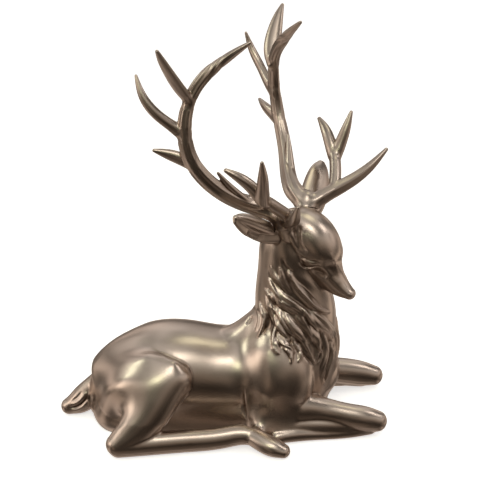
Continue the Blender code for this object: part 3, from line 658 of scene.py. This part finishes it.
# %% List the locks
MANE = [
    (2.4, [(-135, 143), (-130, 138), (-116, 132), (-106, 126), (-97, 122)]),
    (2.4, [(-116, 144), (-112, 136), (-103, 129), (-94, 124)]),
    (4.4, [(-98, 141), (-89, 132), (-77, 125), (-65, 118), (-52, 110), (-31, 103)]),
    (3.6, [(-137, 131), (-125, 125), (-111, 120), (-95, 116), (-81, 111), (-69, 103)]),
    (3.8, [(-146, 121), (-124, 117), (-106, 113), (-90, 109), (-76, 104), (-69, 96)]),
    (3.8, [(-128, 109), (-113, 104), (-103, 99), (-94, 93), (-85, 87)]),
    (3.4, [(-87, 110), (-78, 103), (-71, 96), (-65, 87)]),
    (4.2, [(-102, 105), (-93, 97), (-82, 91), (-68, 81)]),
    (4.0, [(-126, 105), (-116, 99), (-106, 91), (-95, 85)]),
    (2.8, [(-116, 96), (-118, 89), (-112, 83), (-106, 76)]),
    (3.0, [(-114, 92), (-105, 85), (-96, 81), (-87, 76)]),
    (2.8, [(-104, 85), (-98, 79), (-92, 75), (-92, 69)]),
    (2.8, [(-91, 87), (-84, 80), (-80, 74), (-84, 69)]),
    (3.6, [(-84, 89), (-74, 80), (-67, 72), (-61, 64)]),
    (4.2, [(-73, 110), (-62, 103), (-50, 95), (-36, 85), (-28, 73)]),
    (3.6, [(-58, 107), (-46, 100), (-35, 91), (-19, 76), (-21, 66)]),
    (3.6, [(-71, 98), (-61, 89), (-53, 80), (-54, 73), (-59, 66)]),
    (3.4, [(-50, 91), (-43, 81), (-42, 71), (-47, 61), (-50, 54), (-45, 41)]),
    (3.0, [(-34, 77), (-32, 66), (-36, 56), (-41, 47), (-45, 41)]),
    (2.8, [(-158, 108), (-147, 102), (-138, 97), (-138, 90), (-140, 83)]),
    (2.6, [(-144, 115), (-135, 107), (-129, 100), (-121, 95)]),
    (2.4, [(-8, 92), (-6, 80), (-9, 68), (-16, 56)]),
]
print("locks on each side:", len(MANE))

# %% Lay the locks on the neck
MANE_AXIS = np.array([34.0, 0.0, 0.0])
MANE_REACH = 120.0
LOCK_RISE = 0.85
LOCK_SINK = 0.75
LOCK_RINGS = 48
LOCK_END = 0.04
LOCK_LEAN = 0.8
LOCK_SLIM = 0.3


def search_tree(points, triangles):
    """A tree that finds where a ray meets a skin."""
    return BVHTree.FromPolygons(points.tolist(), triangles.tolist())


def lock(tree, half_width, places, hand):
    """A ridge along places on the neck: it swells and fades as a sine of the share along it.

    A power of the share moves the thickest place along.
    """
    path = batten([(angle, height, 0.0) for angle, height in places], LOCK_RINGS)
    turn = np.radians(-hand * path[:, 0])
    out = np.stack([np.cos(turn), np.sin(turn), np.zeros(LOCK_RINGS)], axis=1)
    start = MANE_AXIS + out * MANE_REACH + np.outer(path[:, 1], [0.0, 0.0, 1.0])
    spots = np.array([tree.ray_cast(Vector(a), Vector(-d))[0] for a, d in zip(start, out)])
    across = np.cross(out, np.gradient(spots, axis=0))
    across /= np.linalg.norm(across, axis=1)[:, None]
    along = np.linspace(0.0, 1.0, LOCK_RINGS)
    swell = np.sin(math.pi * (LOCK_END + (1.0 - 2.0 * LOCK_END) * along**LOCK_LEAN))
    rise = LOCK_RISE * half_width
    sunk = spots - out * (LOCK_SINK * rise * (1.0 - swell))[:, None]
    wide = half_width * (LOCK_SLIM + (1.0 - LOCK_SLIM) * swell)
    rows = np.column_stack([sunk, wide, np.full(LOCK_RINGS, rise), across])
    return loft(rows, None, rings=LOCK_RINGS, sides=24, box=1.25)


muscle_tree = search_tree(muscle_points, muscle_triangles)
mane_skins = [lock(muscle_tree, width, places, hand) for hand in (-1, 1) for width, places in MANE]
print(len(mane_skins), "locks")

# %% Melt the whole body
BODY_VOXEL = 0.7

body_parts = [(muscle_points, muscle_triangles)] + head_skins + mane_skins
body = mesh_object("cast_body", *joined(body_parts))
melt(body, BODY_VOXEL)
print("melted body:", len(body.data.vertices), "vertices")

# %% [markdown]
# ## Carved strokes
# The finer carving is laid on the melted skin as strokes of a tool. Each is a line of the photograph, given
# by its across and down places in the 500 wide picture. The line of sight through each place finds the spot
# on the skin, and the points near the line move out for a ridge or in for a groove, as a bell curve of the
# distance. A lock of hair laps over the next one, so a stroke may have one steep side with a narrow groove at
# its foot. The strokes of the face, the mane and the body are mirrored to the side that the photograph
# doesn't show. Those of the ear and the tail are cut only where they are seen.

# %% List the strokes of the face and the ear
FACE_STROKES = [
    (3.0, -1.0, 1, [(299.5, 225), (298.5, 232), (299, 240), (302, 247), (308, 253)]),
    (2.4, 0.5, 0, [(287, 233), (291, 237), (293.5, 243), (297, 249.5)]),
    (1.5, -0.8, 1, [(299, 254.5), (303, 257.3), (308, 259.8), (314, 261), (322, 262.5)]),
    (1.4, -0.9, -1, [(298.5, 261.5), (302, 265), (306, 267.2), (311, 267.6), (316, 266.2), (322, 266)]),
    (3.0, -1.4, 0, [(311, 270), (316, 271.6), (321, 273.6), (327, 278)]),
    (2.2, 0.6, 0, [(318, 265.6), (323, 268), (327, 271.5), (331, 277)]),
    (2.2, 0.5, 0, [(330, 253), (333, 260), (336.5, 265.5), (341, 272)]),
    (3.2, -0.7, 0, [(325.5, 260), (330, 268), (335, 275), (340, 281)]),
    (2.0, -0.9, 1, [(282, 258), (284.5, 263.5), (288.5, 269.5), (293, 272.5)]),
    (3.2, 0.5, 0, [(294, 273.5), (301, 278), (309, 282.2), (318, 287.5), (327, 292)]),
]
EAR_STROKES = [
    (3.0, -1.2, 0, [(247, 233), (255, 236.5), (263, 239)]),
]
print("strokes of the face:", len(FACE_STROKES), "and of the ear:", len(EAR_STROKES))

# %% List the strokes of the mane
MANE_STROKES = [
    (2.2, 1.1, 1, [(267, 268), (269.5, 280), (274.5, 291), (281, 300), (289, 305), (298, 310), (305, 317)]),
    (1.6, 0.8, -1, [(273, 268), (276.5, 277), (281, 285.5), (288, 292.5)]),
    (1.6, 0.7, -1, [(280, 268), (283, 277), (287, 285), (291, 290.5)]),
    (4.0, -1.4, 0, [(288, 277), (293, 286), (299, 294), (306, 302), (312, 309)]),
    (
        2.0, 1.4, -1,
        [(291, 278), (295, 285), (299.5, 291.5), (305, 297.5), (311, 303), (318, 308.5), (328, 311.5)],
    ),
    (2.2, 1.2, 1, [(284, 295), (290, 300), (297, 304.5), (304, 310), (308.5, 316), (311, 323), (314, 330)]),
    (4.2, 1.3, 0, [(284, 314), (289, 320), (295, 327), (301, 335), (308, 343.5)]),
    (1.7, -1.2, 0, [(280, 306), (287, 309.5), (294, 313), (300, 318.5), (304, 325), (308, 332)]),
    (1.8, 1.1, 1, [(279.5, 314), (282, 321), (286, 327), (291, 333), (296, 338)]),
    (2.6, 1.3, -1, [(275, 320), (278, 327), (283, 333), (289, 338.5)]),
    (2.0, -1.3, 0, [(292, 341), (298, 342.5), (304, 347.5), (309, 353)]),
    (1.8, 1.3, 1, [(276, 328), (273.5, 336), (273.3, 345), (278.5, 355)]),
    (1.7, 1.2, -1, [(277.5, 333), (279.5, 341), (285, 345.5), (291, 349), (294, 354)]),
    (1.6, 1.0, -1, [(283, 346), (287, 351), (290.5, 357), (292, 363)]),
    (2.0, 0.9, 1, [(302, 317), (307, 326), (310.5, 335), (312, 343)]),
    (2.0, 0.9, 1, [(309, 316), (315, 326), (319, 336), (320, 346)]),
    (2.0, 1.0, 1, [(312, 311), (320, 317), (328, 325), (333, 335), (334, 346)]),
    (2.8, 1.2, 1, [(298, 347), (302, 355), (307, 362), (313, 368)]),
    (1.8, -1.2, 0, [(305, 349), (309, 355.5), (314, 362)]),
    (1.8, 1.0, -1, [(315, 343), (320, 350), (321, 358), (317, 365)]),
    (1.9, -1.2, 0, [(327, 347), (328.3, 355), (325.3, 364), (322, 373), (323, 384)]),
    (2.0, 1.0, 1, [(332, 345), (333, 356), (329.5, 367), (326.5, 379)]),
    (2.0, 1.4, 1, [(259.5, 303), (261.5, 311), (264, 319), (262.5, 328), (258, 338)]),
    (3.4, -1.6, 0, [(267, 309), (269, 319), (268, 328), (263, 334)]),
    (1.6, 0.9, -1, [(256, 309), (258.6, 316), (258, 324), (255.5, 332)]),
    (1.7, -1.0, 0, [(252, 315.5), (249.5, 320), (246, 324.5)]),
    (1.7, 0.8, 1, [(268, 286), (269, 297), (271.5, 308), (273.5, 318)]),
    (2.0, -1.0, 0, [(274, 296), (275, 306), (274.5, 315), (276.5, 322)]),
]
print("strokes of the mane:", len(MANE_STROKES))

# %% List the strokes of the body and the tail
BODY_STROKES = [
    (2.4, 0.5, 0, [(154, 352), (161, 354.5), (167, 358.5)]),
    (2.2, -1.2, 1, [(243, 386), (244, 398), (245, 410), (247, 421)]),
]
TAIL_STROKES = [
    (1.5, -1.6, 0, [(87.5, 394), (85, 400.5), (80, 405.5), (73, 408), (67, 407)]),
    (1.4, 0.8, 0, [(86.5, 391.5), (82.5, 398), (77.5, 402.5), (71, 405)]),
    (1.4, 0.7, 0, [(87, 399), (84, 405), (77.5, 409.5), (70, 410)]),
    (1.1, -0.6, 0, [(82, 391), (77, 397.5), (71, 401.5)]),
]
print("strokes of the body:", len(BODY_STROKES), "and of the tail:", len(TAIL_STROKES))

# %% Make the carving helpers
STROKE_STEP = 0.5
STROKE_REACH = 2.5
STROKE_FADE = 5.0
UNDERCUT = 0.35
STEEP = 0.5


def sighted(tree, places):
    """The spots where the lines of sight through places of the picture first meet a skin."""
    rough = np.linalg.norm(np.diff(np.array(places, float), axis=0), axis=1).sum()
    path = batten([(across, down, 0.0) for across, down in places], int(rough / STROKE_STEP) + 2)
    eye = Vector(CAMERA_EYE)
    hits = [tree.ray_cast(eye, Vector(sight(across, down)))[0] for across, down, _ in path]
    return np.array([hit for hit in hits if hit is not None])


def snapped(tree, path):
    """Each point of a path moved to the nearest spot of a skin."""
    return np.array([tree.find_nearest(Vector(point))[0] for point in path])


def figure_mirror(points):
    """Points mirrored to the figure's other side: Y changes its sign."""
    return points * [1.0, -1.0, 1.0]


def carve(points, normals, path, half_width, height, edge):
    """Moves points along their normals by height times a bell of the distance, fading at the path's ends.

    With edge 1 the bell falls off steeply on the right of the path, with -1 on its left, and a narrow groove
    lies at the foot of the steep side, as where one lock of hair laps over the next.
    """
    reach = STROKE_REACH * half_width
    near = ((points > path.min(axis=0) - reach) & (points < path.max(axis=0) + reach)).all(axis=1)
    near = np.flatnonzero(near)
    gap = np.linalg.norm(points[near, None] - path[None], axis=2)
    nearest = gap.argmin(axis=1)
    gap = gap.min(axis=1)
    share = nearest / (len(path) - 1)
    fade = np.clip(STROKE_FADE * share * (1.0 - share), 0.0, 1.0)
    right = np.cross(normals[near], np.gradient(path, axis=0)[nearest])
    right /= np.linalg.norm(right, axis=1)[:, None]
    beyond = edge * ((points[near] - path[nearest]) * right).sum(axis=1)
    bell = np.exp(-(gap / (half_width * np.where(beyond > 0.0, STEEP, 1.0)))**2)
    if edge:
        groove = ((beyond - half_width) / (STEEP * half_width))**2 + (gap - np.abs(beyond))**2 / half_width**2
        bell -= UNDERCUT * np.exp(-groove)
    points[near] += normals[near] * (height * fade * bell)[:, None]


print("step along a stroke:", STROKE_STEP)

# %% Carve all the strokes
places, outward = corners_of(body)
body_tree = search_tree(places, triangles_of(body))
carved = places.copy()
for strokes, twin_of in (
    (FACE_STROKES, head_mirror), (EAR_STROKES + TAIL_STROKES, None),
    (MANE_STROKES + BODY_STROKES, figure_mirror),
):
    for half_width, height, edge, line in strokes:
        path = sighted(body_tree, line)
        carve(carved, outward, path, half_width, height, edge)
        if twin_of:
            carve(carved, outward, snapped(body_tree, twin_of(path)), half_width, height, -edge)
move_corners(body, carved)
print("strokes carved on each side:", len(FACE_STROKES + MANE_STROKES + BODY_STROKES))

# %% [markdown]
# ## Thin out the flat places
# The melted skin has the same fine mesh everywhere, but only the hair and the face need it. The Decimate
# modifier joins the faces whose loss changes the surface least, so the smooth back gives up most of them.

# %% Make the finishing helpers
PIECE_TRIANGLES = 190000
RECESS_STEPS = 8
SEAT_REACH = 1.4
FOOT_REACH = 3.3


def thin_out(obj, triangles):
    """Keeps about as many triangles as asked and shades the mesh smooth."""
    found = sum(len(face.vertices) - 2 for face in obj.data.polygons)
    if found > triangles:
        fewer = obj.modifiers.new("Thin out", "DECIMATE")
        fewer.ratio = triangles / found
        settle(obj)
    obj.data.shade_smooth()


def mark_recesses(obj):
    """Keeps on each point how far it lies below the repeated mean of its neighbours, in units. It is the mask
    of the painted shade in the carving.
    """
    points, normals = corners_of(obj)
    ends = edges_of(obj)
    around = points.copy()
    for _ in range(RECESS_STEPS):
        around = neighbour_mean(around, ends)
    depth = ((around - points) * normals).sum(axis=1)
    layer = obj.data.attributes.new("recess", "FLOAT", "POINT")
    layer.data.foreach_set("value", depth.astype(np.float32))


def press_flat(points, spot, lean, above):
    """Moves what is past a plane onto it: points above the spot, or below it, slide along the lean.

    Only points within a reach in seat radii move.
    """
    past = (points - spot) @ lean
    past = np.maximum(past, 0.0) if above else np.minimum(past, 0.0)
    near = np.linalg.norm(points - spot, axis=1) < SEAT_RADIUS * (SEAT_REACH if above else FOOT_REACH)
    return points - np.outer(past * near, lean)


print("triangles in a piece:", PIECE_TRIANGLES)

# %% Flatten the underside and the seats, and thin the body out
places, _ = corners_of(body)
places[:, 2] = np.maximum(places[:, 2], 0.0)
for hand in (-1, 1):
    places = press_flat(places, *seat(hand), above=True)
move_corners(body, places)
thin_out(body, PIECE_TRIANGLES)
mark_recesses(body)
print("body:", len(body.data.polygons), "faces")

# %% [markdown]
# ## Antlers
# Each antler is a beam that curves back, out and forward again, with tines that leave it like branches. The
# photograph shows soft flutes along the beam, as on real antlers, so its section has grooves all round. The
# joints where the branches meet are relaxed like the muscles.

# %% List the antler's branches
BEAM = [
    (-1, 17.5, 180, 8, 8.5), (-7, 19, 185.5, 8.4, 8.4), (-15, 22, 189.5, 8.4, 7.8),
    (-25, 31, 194.5, 7.6, 6.9), (-41, 52, 211, 6.8, 5.9), (-55, 65, 235, 6.2, 5.2),
    (-60, 66, 260, 5.8, 4.4), (-54, 58, 290, 5, 4.2), (-34.5, 46.5, 312, 4.4, 3.5),
    (-20.5, 37.5, 323, 1.5, 1.5),
]
BROW_TINE = [
    (0, 17.5, 181, 7.5, 7.5), (10, 29, 189, 6.2, 6.6), (22, 45, 197, 5.2, 5.6), (32, 60, 206.5, 4, 4.2),
    (41, 73.2, 220, 1.7, 1.7),
]
FORK_STEM = [(14, 36, 193.5, 5, 5), (9, 47, 203.5, 4.8, 4.8), (2.7, 57, 213, 4.8, 4.8)]
FORK_FRONT = [
    (3, 57, 211, 5.6, 5.2), (5, 61.5, 221, 5.2, 4.6), (7.7, 66, 234, 4, 3.7), (9.6, 70.6, 247, 1.5, 1.5),
]
FORK_BACK = [
    (2, 57, 212, 5.6, 5), (-4.5, 61.5, 222.5, 5.2, 4.6), (-12, 67, 230.5, 4.2, 3.8), (-20, 72, 236, 1.9, 1.9),
]
TOP_TINE = [
    (-58, 60.5, 279, 5.5, 3.6), (-62.5, 66.5, 289, 7, 3.8), (-65.5, 76, 303.5, 6.2, 3.2),
    (-66.3, 84, 315, 3.8, 2.4), (-66, 89, 322, 1.6, 1.4),
]
BACK_TINE = [
    (-59, 65.5, 254, 6.5, 4), (-67, 69, 260, 4.8, 3.8), (-78.5, 75.5, 270.5, 4.1, 3.5),
    (-88, 78, 282.5, 3.4, 3), (-94.3, 77.2, 297.5, 1.2, 1.2),
]
LOW_TINE = [
    (-53, 63, 231, 5.5, 4.2), (-63, 67, 235.5, 5.2, 3.4), (-72.5, 71.5, 239, 4, 2.8),
    (-80.6, 77, 242, 1.5, 1.4),
]
SPUR = [(-25, 34, 197, 4.5, 3.5), (-33, 45, 211, 3.2, 2.8), (-39, 53.5, 224.5, 1.2, 1.2)]
JOINTS = [
    (0, 17.5, 184, 15), (-10, 21, 187, 10), (10, 30, 190, 9), (2.7, 57, 213, 8), (-59, 62, 280, 8),
    (-60, 66, 255, 8), (-54, 64, 232, 7),
]
print("stations of the beam:", len(BEAM), "and joints:", len(JOINTS))

# %% Make both antlers
CORONET_RADIUS = 10.0
CORONET_HEIGHT = 3.5
CORONET_PROFILE = ((-0.86, 0.92), (0.4, 1.0), (1.2, 0.86), (2.0, 0.8))
SEAT_GAP = 0.3
ANTLER_VOXEL = 0.55
JOINT_STEPS = 70
BRANCHES = [
    (BEAM, (-0.7, 0.3, -0.6), 150, 60, 7, 0.13), (BROW_TINE, (1, -0.5, 0), 70, 48, 5, 0.09),
    (FORK_STEM, (1, 0, 0), 40, 40, 0, 0), (FORK_FRONT, (1, 0, 0), 50, 40, 4, 0.06),
    (FORK_BACK, (1, 0, 0), 50, 40, 4, 0.06), (TOP_TINE, (-1, 0, 0.5), 60, 40, 0, 0),
    (BACK_TINE, (0, 0, 1), 60, 40, 0, 0), (LOW_TINE, (0, 0, 1), 50, 40, 0, 0),
    (SPUR, (1, 0, 0), 30, 32, 0, 0),
]


def antler(name, hand):
    """One antler: its branches melted, with a flat foot just above its seat."""
    flip = np.array([1.0, hand, 1.0])

    def side(direction):
        return head_axes(np.array(direction) * flip)

    spot, lean = seat(hand)
    ring = turned(spot, lean, CORONET_HEIGHT, CORONET_RADIUS, CORONET_PROFILE)
    skins = [loft(ring, side((1, 0, 0)), rings=30, sides=60)]
    for line, width, rings, sides, flutes, depth in BRANCHES:
        stations = on_head(line, hand)
        skins.append(loft(stations, side(width), rings=rings, sides=sides, flutes=flutes, flute_depth=depth))
    made = mesh_object(name, *joined(skins))
    melt(made, ANTLER_VOXEL)
    points, _ = corners_of(made)
    points = relaxed(points, edges_of(made), soft_share(points, on_head(JOINTS, hand)), JOINT_STEPS)
    move_corners(made, press_flat(points, spot + lean * SEAT_GAP, lean, above=False))
    thin_out(made, PIECE_TRIANGLES)
    mark_recesses(made)
    return made


antlers = {"antler_right": antler("antler_cast_right", -1), "antler_left": antler("antler_cast_left", 1)}
for node, piece in antlers.items():
    print(piece.name, "stands for", node, "with", len(piece.data.polygons), "faces")

# %% [markdown]
# ## Bronze paint
# The casting is sprayed with a metallic paint: flat metal flakes in a clear binder. It reflects like a satin
# metal, so the shader is fully metallic with a middling roughness. The flakes and the spray leave a slight
# mottle in tone and gloss. The carving is darkened with painted shade, the more the deeper a point lies
# below its neighbours, and more strongly on the antlers. The antlers' paint is a little darker in tone than
# the body's.

# %% Make the helpers for node trees


def noise(tree, where, scale, detail):
    """The value of a noise texture over the given coordinates."""
    made = tree.nodes.new("ShaderNodeTexNoise")
    made.inputs["Scale"].default_value = scale
    made.inputs["Detail"].default_value = detail
    tree.links.new(where, made.inputs["Vector"])
    return made.outputs["Fac"]


def spread(tree, value, start, end, low=0.0, high=1.0, kind="LINEAR"):
    """A value carried from the range start to end over to the range low to high."""
    made = tree.nodes.new("ShaderNodeMapRange")
    made.interpolation_type = kind
    for socket, number in zip(("From Min", "From Max", "To Min", "To Max"), (start, end, low, high)):
        made.inputs[socket].default_value = number
    tree.links.new(value, made.inputs["Value"])
    return made.outputs["Result"]


def blend(tree, share, first, second):
    """Two colours mixed by a share. Each is a tuple or the output of a node."""
    made = tree.nodes.new("ShaderNodeMix")
    made.data_type = "RGBA"
    tree.links.new(share, made.inputs[0])
    for socket, colour in zip((made.inputs[6], made.inputs[7]), (first, second)):
        if isinstance(colour, tuple):
            socket.default_value = (*colour, 1.0)
        else:
            tree.links.new(colour, socket)
    return made.outputs[2]


print("node helpers: noise, spread, blend")

# %% Mix the paint
DARK_TONE = (0.45, 0.37, 0.31)
PALE_TONE = (0.525, 0.445, 0.39)
# Painted shade: the colour that the paint is darkened towards in the carving's recesses.
PAINTED_SHADE_TONE = (0.16, 0.11, 0.08)
ROUGHNESS = (0.25, 0.35)
MOTTLE = (45.0, 4.0)
FLAKES = (900.0, 2.0)
PEEL_STRENGTH = 0.06
PEEL_HEIGHT = 0.0004
# Recess depths in units over which the painted shade grows, on the body and on the antlers.
RECESS_START = 0.05
RECESS_END = 0.6
ANTLER_RECESS_END = 0.2
ANTLER_SHADE = 0.84


def bronze_paint(name, recess_end, shade):
    """Satin metallic paint with mottle, flakes, a faint orange-peel surface and painted shade in the carving.
    """
    made = bpy.data.materials.new(name)
    made.use_nodes = True
    tree = made.node_tree
    shader = tree.nodes["Principled BSDF"]
    shader.inputs["Metallic"].default_value = 1.0
    where = tree.nodes.new("ShaderNodeTexCoord").outputs["Object"]
    mottle = noise(tree, where, *MOTTLE)
    dark, pale = (tuple(value * shade for value in colour) for colour in (DARK_TONE, PALE_TONE))
    recess = tree.nodes.new("ShaderNodeAttribute")
    recess.attribute_name = "recess"
    # Painted shade: the deeper a point lies below its neighbours, the more its colour is darkened.
    depth = spread(tree, recess.outputs["Fac"], RECESS_START, recess_end)
    colour = blend(tree, depth, blend(tree, mottle, dark, pale), PAINTED_SHADE_TONE)
    tree.links.new(colour, shader.inputs["Base Color"])
    tree.links.new(spread(tree, mottle, 0.0, 1.0, *ROUGHNESS), shader.inputs["Roughness"])
    peel = tree.nodes.new("ShaderNodeBump")
    peel.inputs["Strength"].default_value = PEEL_STRENGTH
    peel.inputs["Distance"].default_value = PEEL_HEIGHT
    tree.links.new(noise(tree, where, *FLAKES), peel.inputs["Height"])
    tree.links.new(peel.outputs["Normal"], shader.inputs["Normal"])
    return made


body_paint = bronze_paint("Bronze paint", RECESS_END, 1.0)
antler_paint = bronze_paint("Antler paint", ANTLER_RECESS_END, ANTLER_SHADE)
for piece in [body] + list(antlers.values()):
    piece.data.materials.clear()
    piece.data.materials.append(body_paint if piece is body else antler_paint)
print("paints:", body_paint.name, "and", antler_paint.name)

# %% Put the pieces in place of the CAD parts, on the root body
for piece, node, slot_name in (
    (body, "body", "body_paint"),
    (antlers["antler_right"], "antler_right", "antler_paint"),
    (antlers["antler_left"], "antler_left", "antler_paint"),
):
    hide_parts(node)
    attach(piece, "root")
print("pieces ride on the frame")

# %% [markdown]
# ## Floor and light
# A product photograph is made on a white table with soft lights all round. Six panels stand for them here,
# and each gives the metal one of its soft highlights. The white floor has a faint glow of its own, which
# keeps it white, and it takes the figurine's shadow. It stays out of the metal's reflections, because the
# photographer's table top looks brown in them.

# %% Lay the floor
FLOOR_SPAN = 12.0
FLOOR_TONE = 0.9
FLOOR_ROUGHNESS = 0.9
FLOOR_GLOW = 0.6


def white_floor():
    """A large pale plane at table height."""
    half = FLOOR_SPAN / 2
    rim = [(-half, -half, 0), (half, -half, 0), (half, half, 0), (-half, half, 0)]
    mesh = bpy.data.meshes.new("floor")
    mesh.from_pydata(rim, [], [(0, 1, 2, 3)])
    made = bpy.data.objects.new("floor", mesh)
    pale = bpy.data.materials.new("Pale floor")
    pale.use_nodes = True
    shader = pale.node_tree.nodes["Principled BSDF"]
    shader.inputs["Base Color"].default_value = (FLOOR_TONE, FLOOR_TONE, FLOOR_TONE, 1.0)
    shader.inputs["Roughness"].default_value = FLOOR_ROUGHNESS
    shader.inputs["Emission Color"].default_value = (1.0, 1.0, 1.0, 1.0)
    shader.inputs["Emission Strength"].default_value = FLOOR_GLOW
    mesh.materials.append(pale)
    made.visible_glossy = False
    bpy.context.scene.collection.objects.link(made)
    return made


print("the floor is", white_floor().dimensions.x, "m wide")

# %% Hang the lights
LIGHTS_AIM = Vector((0.0, 0.0, 0.15))
PANELS = [
    ("front panel", (0.03, -0.78, 1.19), 0.4, 2.4, (1.0, 0.97, 0.88)),
    ("right panel", (0.90, -0.09, 1.08), 0.4, 1.9, (1.0, 0.95, 0.9)),
    ("low left panel", (-1.19, -0.48, 0.38), 0.5, 1.6, (1.0, 0.9, 0.78)),
    ("left panel", (-1.02, 0.09, 0.95), 0.4, 1.7, (0.92, 1.0, 0.8)),
    ("green panel", (-0.38, -0.98, 0.91), 0.35, 1.5, (0.9, 1.0, 0.7)),
    ("top panel", (0.25, 0.22, 1.41), 0.5, 1.5, (1.0, 1.0, 0.75)),
]


def soft_light(name, place, size, watts, colour):
    """A square area light at a place in metres, turned towards the figurine's middle."""
    lamp = bpy.data.lights.new(name, "AREA")
    lamp.size = size
    lamp.energy = watts
    lamp.color = colour
    made = bpy.data.objects.new(name, lamp)
    made.location = place
    made.rotation_euler = (LIGHTS_AIM - Vector(place)).to_track_quat("-Z", "Y").to_euler()
    bpy.context.scene.collection.objects.link(made)


for panel in PANELS:
    soft_light(*panel)
print("panels:", len(PANELS))

# %% [markdown]
# ## The room in the metal
# Metal shows what is round it, so the background of the world stands for the room. Two ramps of colour run
# from below to above. A dark one is for the camera's side of the room and a paler one for the sides and the
# back, and they are mixed by how far a direction points to the camera's side. Soft noise makes patches in
# both, and one darker patch stands for a cabinet that is low in front of the chest. The world stays where it
# is when the camera goes round the figurine.

# %% List the room's colours
FRONT_BANDS = [
    (0.00, (0.31, 0.25, 0.20)), (0.25, (0.175, 0.13, 0.098)), (0.50, (0.185, 0.143, 0.11)),
    (0.63, (0.23, 0.19, 0.155)), (0.75, (0.38, 0.355, 0.32)), (0.85, (0.54, 0.525, 0.495)),
    (0.93, (0.48, 0.465, 0.44)), (1.00, (0.38, 0.37, 0.355)),
]
SIDE_BANDS = [
    (0.00, (0.44, 0.37, 0.32)), (0.25, (0.42, 0.345, 0.29)), (0.37, (0.56, 0.475, 0.395)),
    (0.50, (0.64, 0.54, 0.465)), (0.63, (0.62, 0.545, 0.49)), (0.75, (0.60, 0.56, 0.53)),
    (0.85, (0.57, 0.55, 0.53)), (0.93, (0.50, 0.485, 0.465)), (1.00, (0.40, 0.39, 0.375)),
]
FRONT_END = -0.85
SIDE_START = 0.0
CLOUDS = (2.2, 1.0)
CLOUD_START = 0.42
CLOUD_END = 0.6
CLOUD_STRENGTHS = (0.15, 1.9)
CABINET_DIRECTION = Vector((0.35, -0.85, -0.42)).normalized()
CABINET_RIM = 0.72
CABINET_CORE = 0.95
CABINET_TONE = 0.45
print("the room has", len(FRONT_BANDS), "bands in front and", len(SIDE_BANDS), "at the sides")

# %% Paint the walls
world = bpy.data.worlds.new("Room")
world.use_nodes = True
room = world.node_tree
direction = room.nodes.new("ShaderNodeTexCoord").outputs["Generated"]
direction_parts = room.nodes.new("ShaderNodeSeparateXYZ")
room.links.new(direction, direction_parts.inputs[0])
height_share = spread(room, direction_parts.outputs["Z"], -1.0, 1.0)


def room_ramp(bands):
    """A colour ramp over the height share."""
    ramp = room.nodes.new("ShaderNodeValToRGB")
    stops = ramp.color_ramp.elements
    while len(stops) < len(bands):
        stops.new(0.5)
    for stop, (share, colour) in zip(stops, bands):
        stop.position = share
        stop.color = (*colour, 1.0)
    room.links.new(height_share, ramp.inputs["Fac"])
    return ramp.outputs["Color"]


side_share = spread(room, direction_parts.outputs["Y"], FRONT_END, SIDE_START, kind="SMOOTHSTEP")
walls = blend(room, side_share, room_ramp(FRONT_BANDS), room_ramp(SIDE_BANDS))
room.links.new(walls, room.nodes["Background"].inputs["Color"])
print("the walls have", len(room.nodes), "nodes")

# %% Add the clouds and the cabinet
cloud_strength = spread(room, noise(room, direction, *CLOUDS), CLOUD_START, CLOUD_END, *CLOUD_STRENGTHS)
toward_cabinet = room.nodes.new("ShaderNodeVectorMath")
toward_cabinet.operation = "DOT_PRODUCT"
toward_cabinet.inputs[1].default_value = CABINET_DIRECTION
room.links.new(direction, toward_cabinet.inputs[0])
cabinet_strength = spread(
    room, toward_cabinet.outputs["Value"], CABINET_RIM, CABINET_CORE, 1.0, CABINET_TONE, "SMOOTHSTEP",
)
both = room.nodes.new("ShaderNodeMath")
both.operation = "MULTIPLY"
room.links.new(cloud_strength, both.inputs[0])
room.links.new(cabinet_strength, both.inputs[1])
room.links.new(both.outputs["Value"], room.nodes["Background"].inputs["Strength"])
bpy.context.scene.world = world
bpy.context.scene.view_settings.view_transform = "Standard"
print("the room has", len(room.nodes), "nodes")
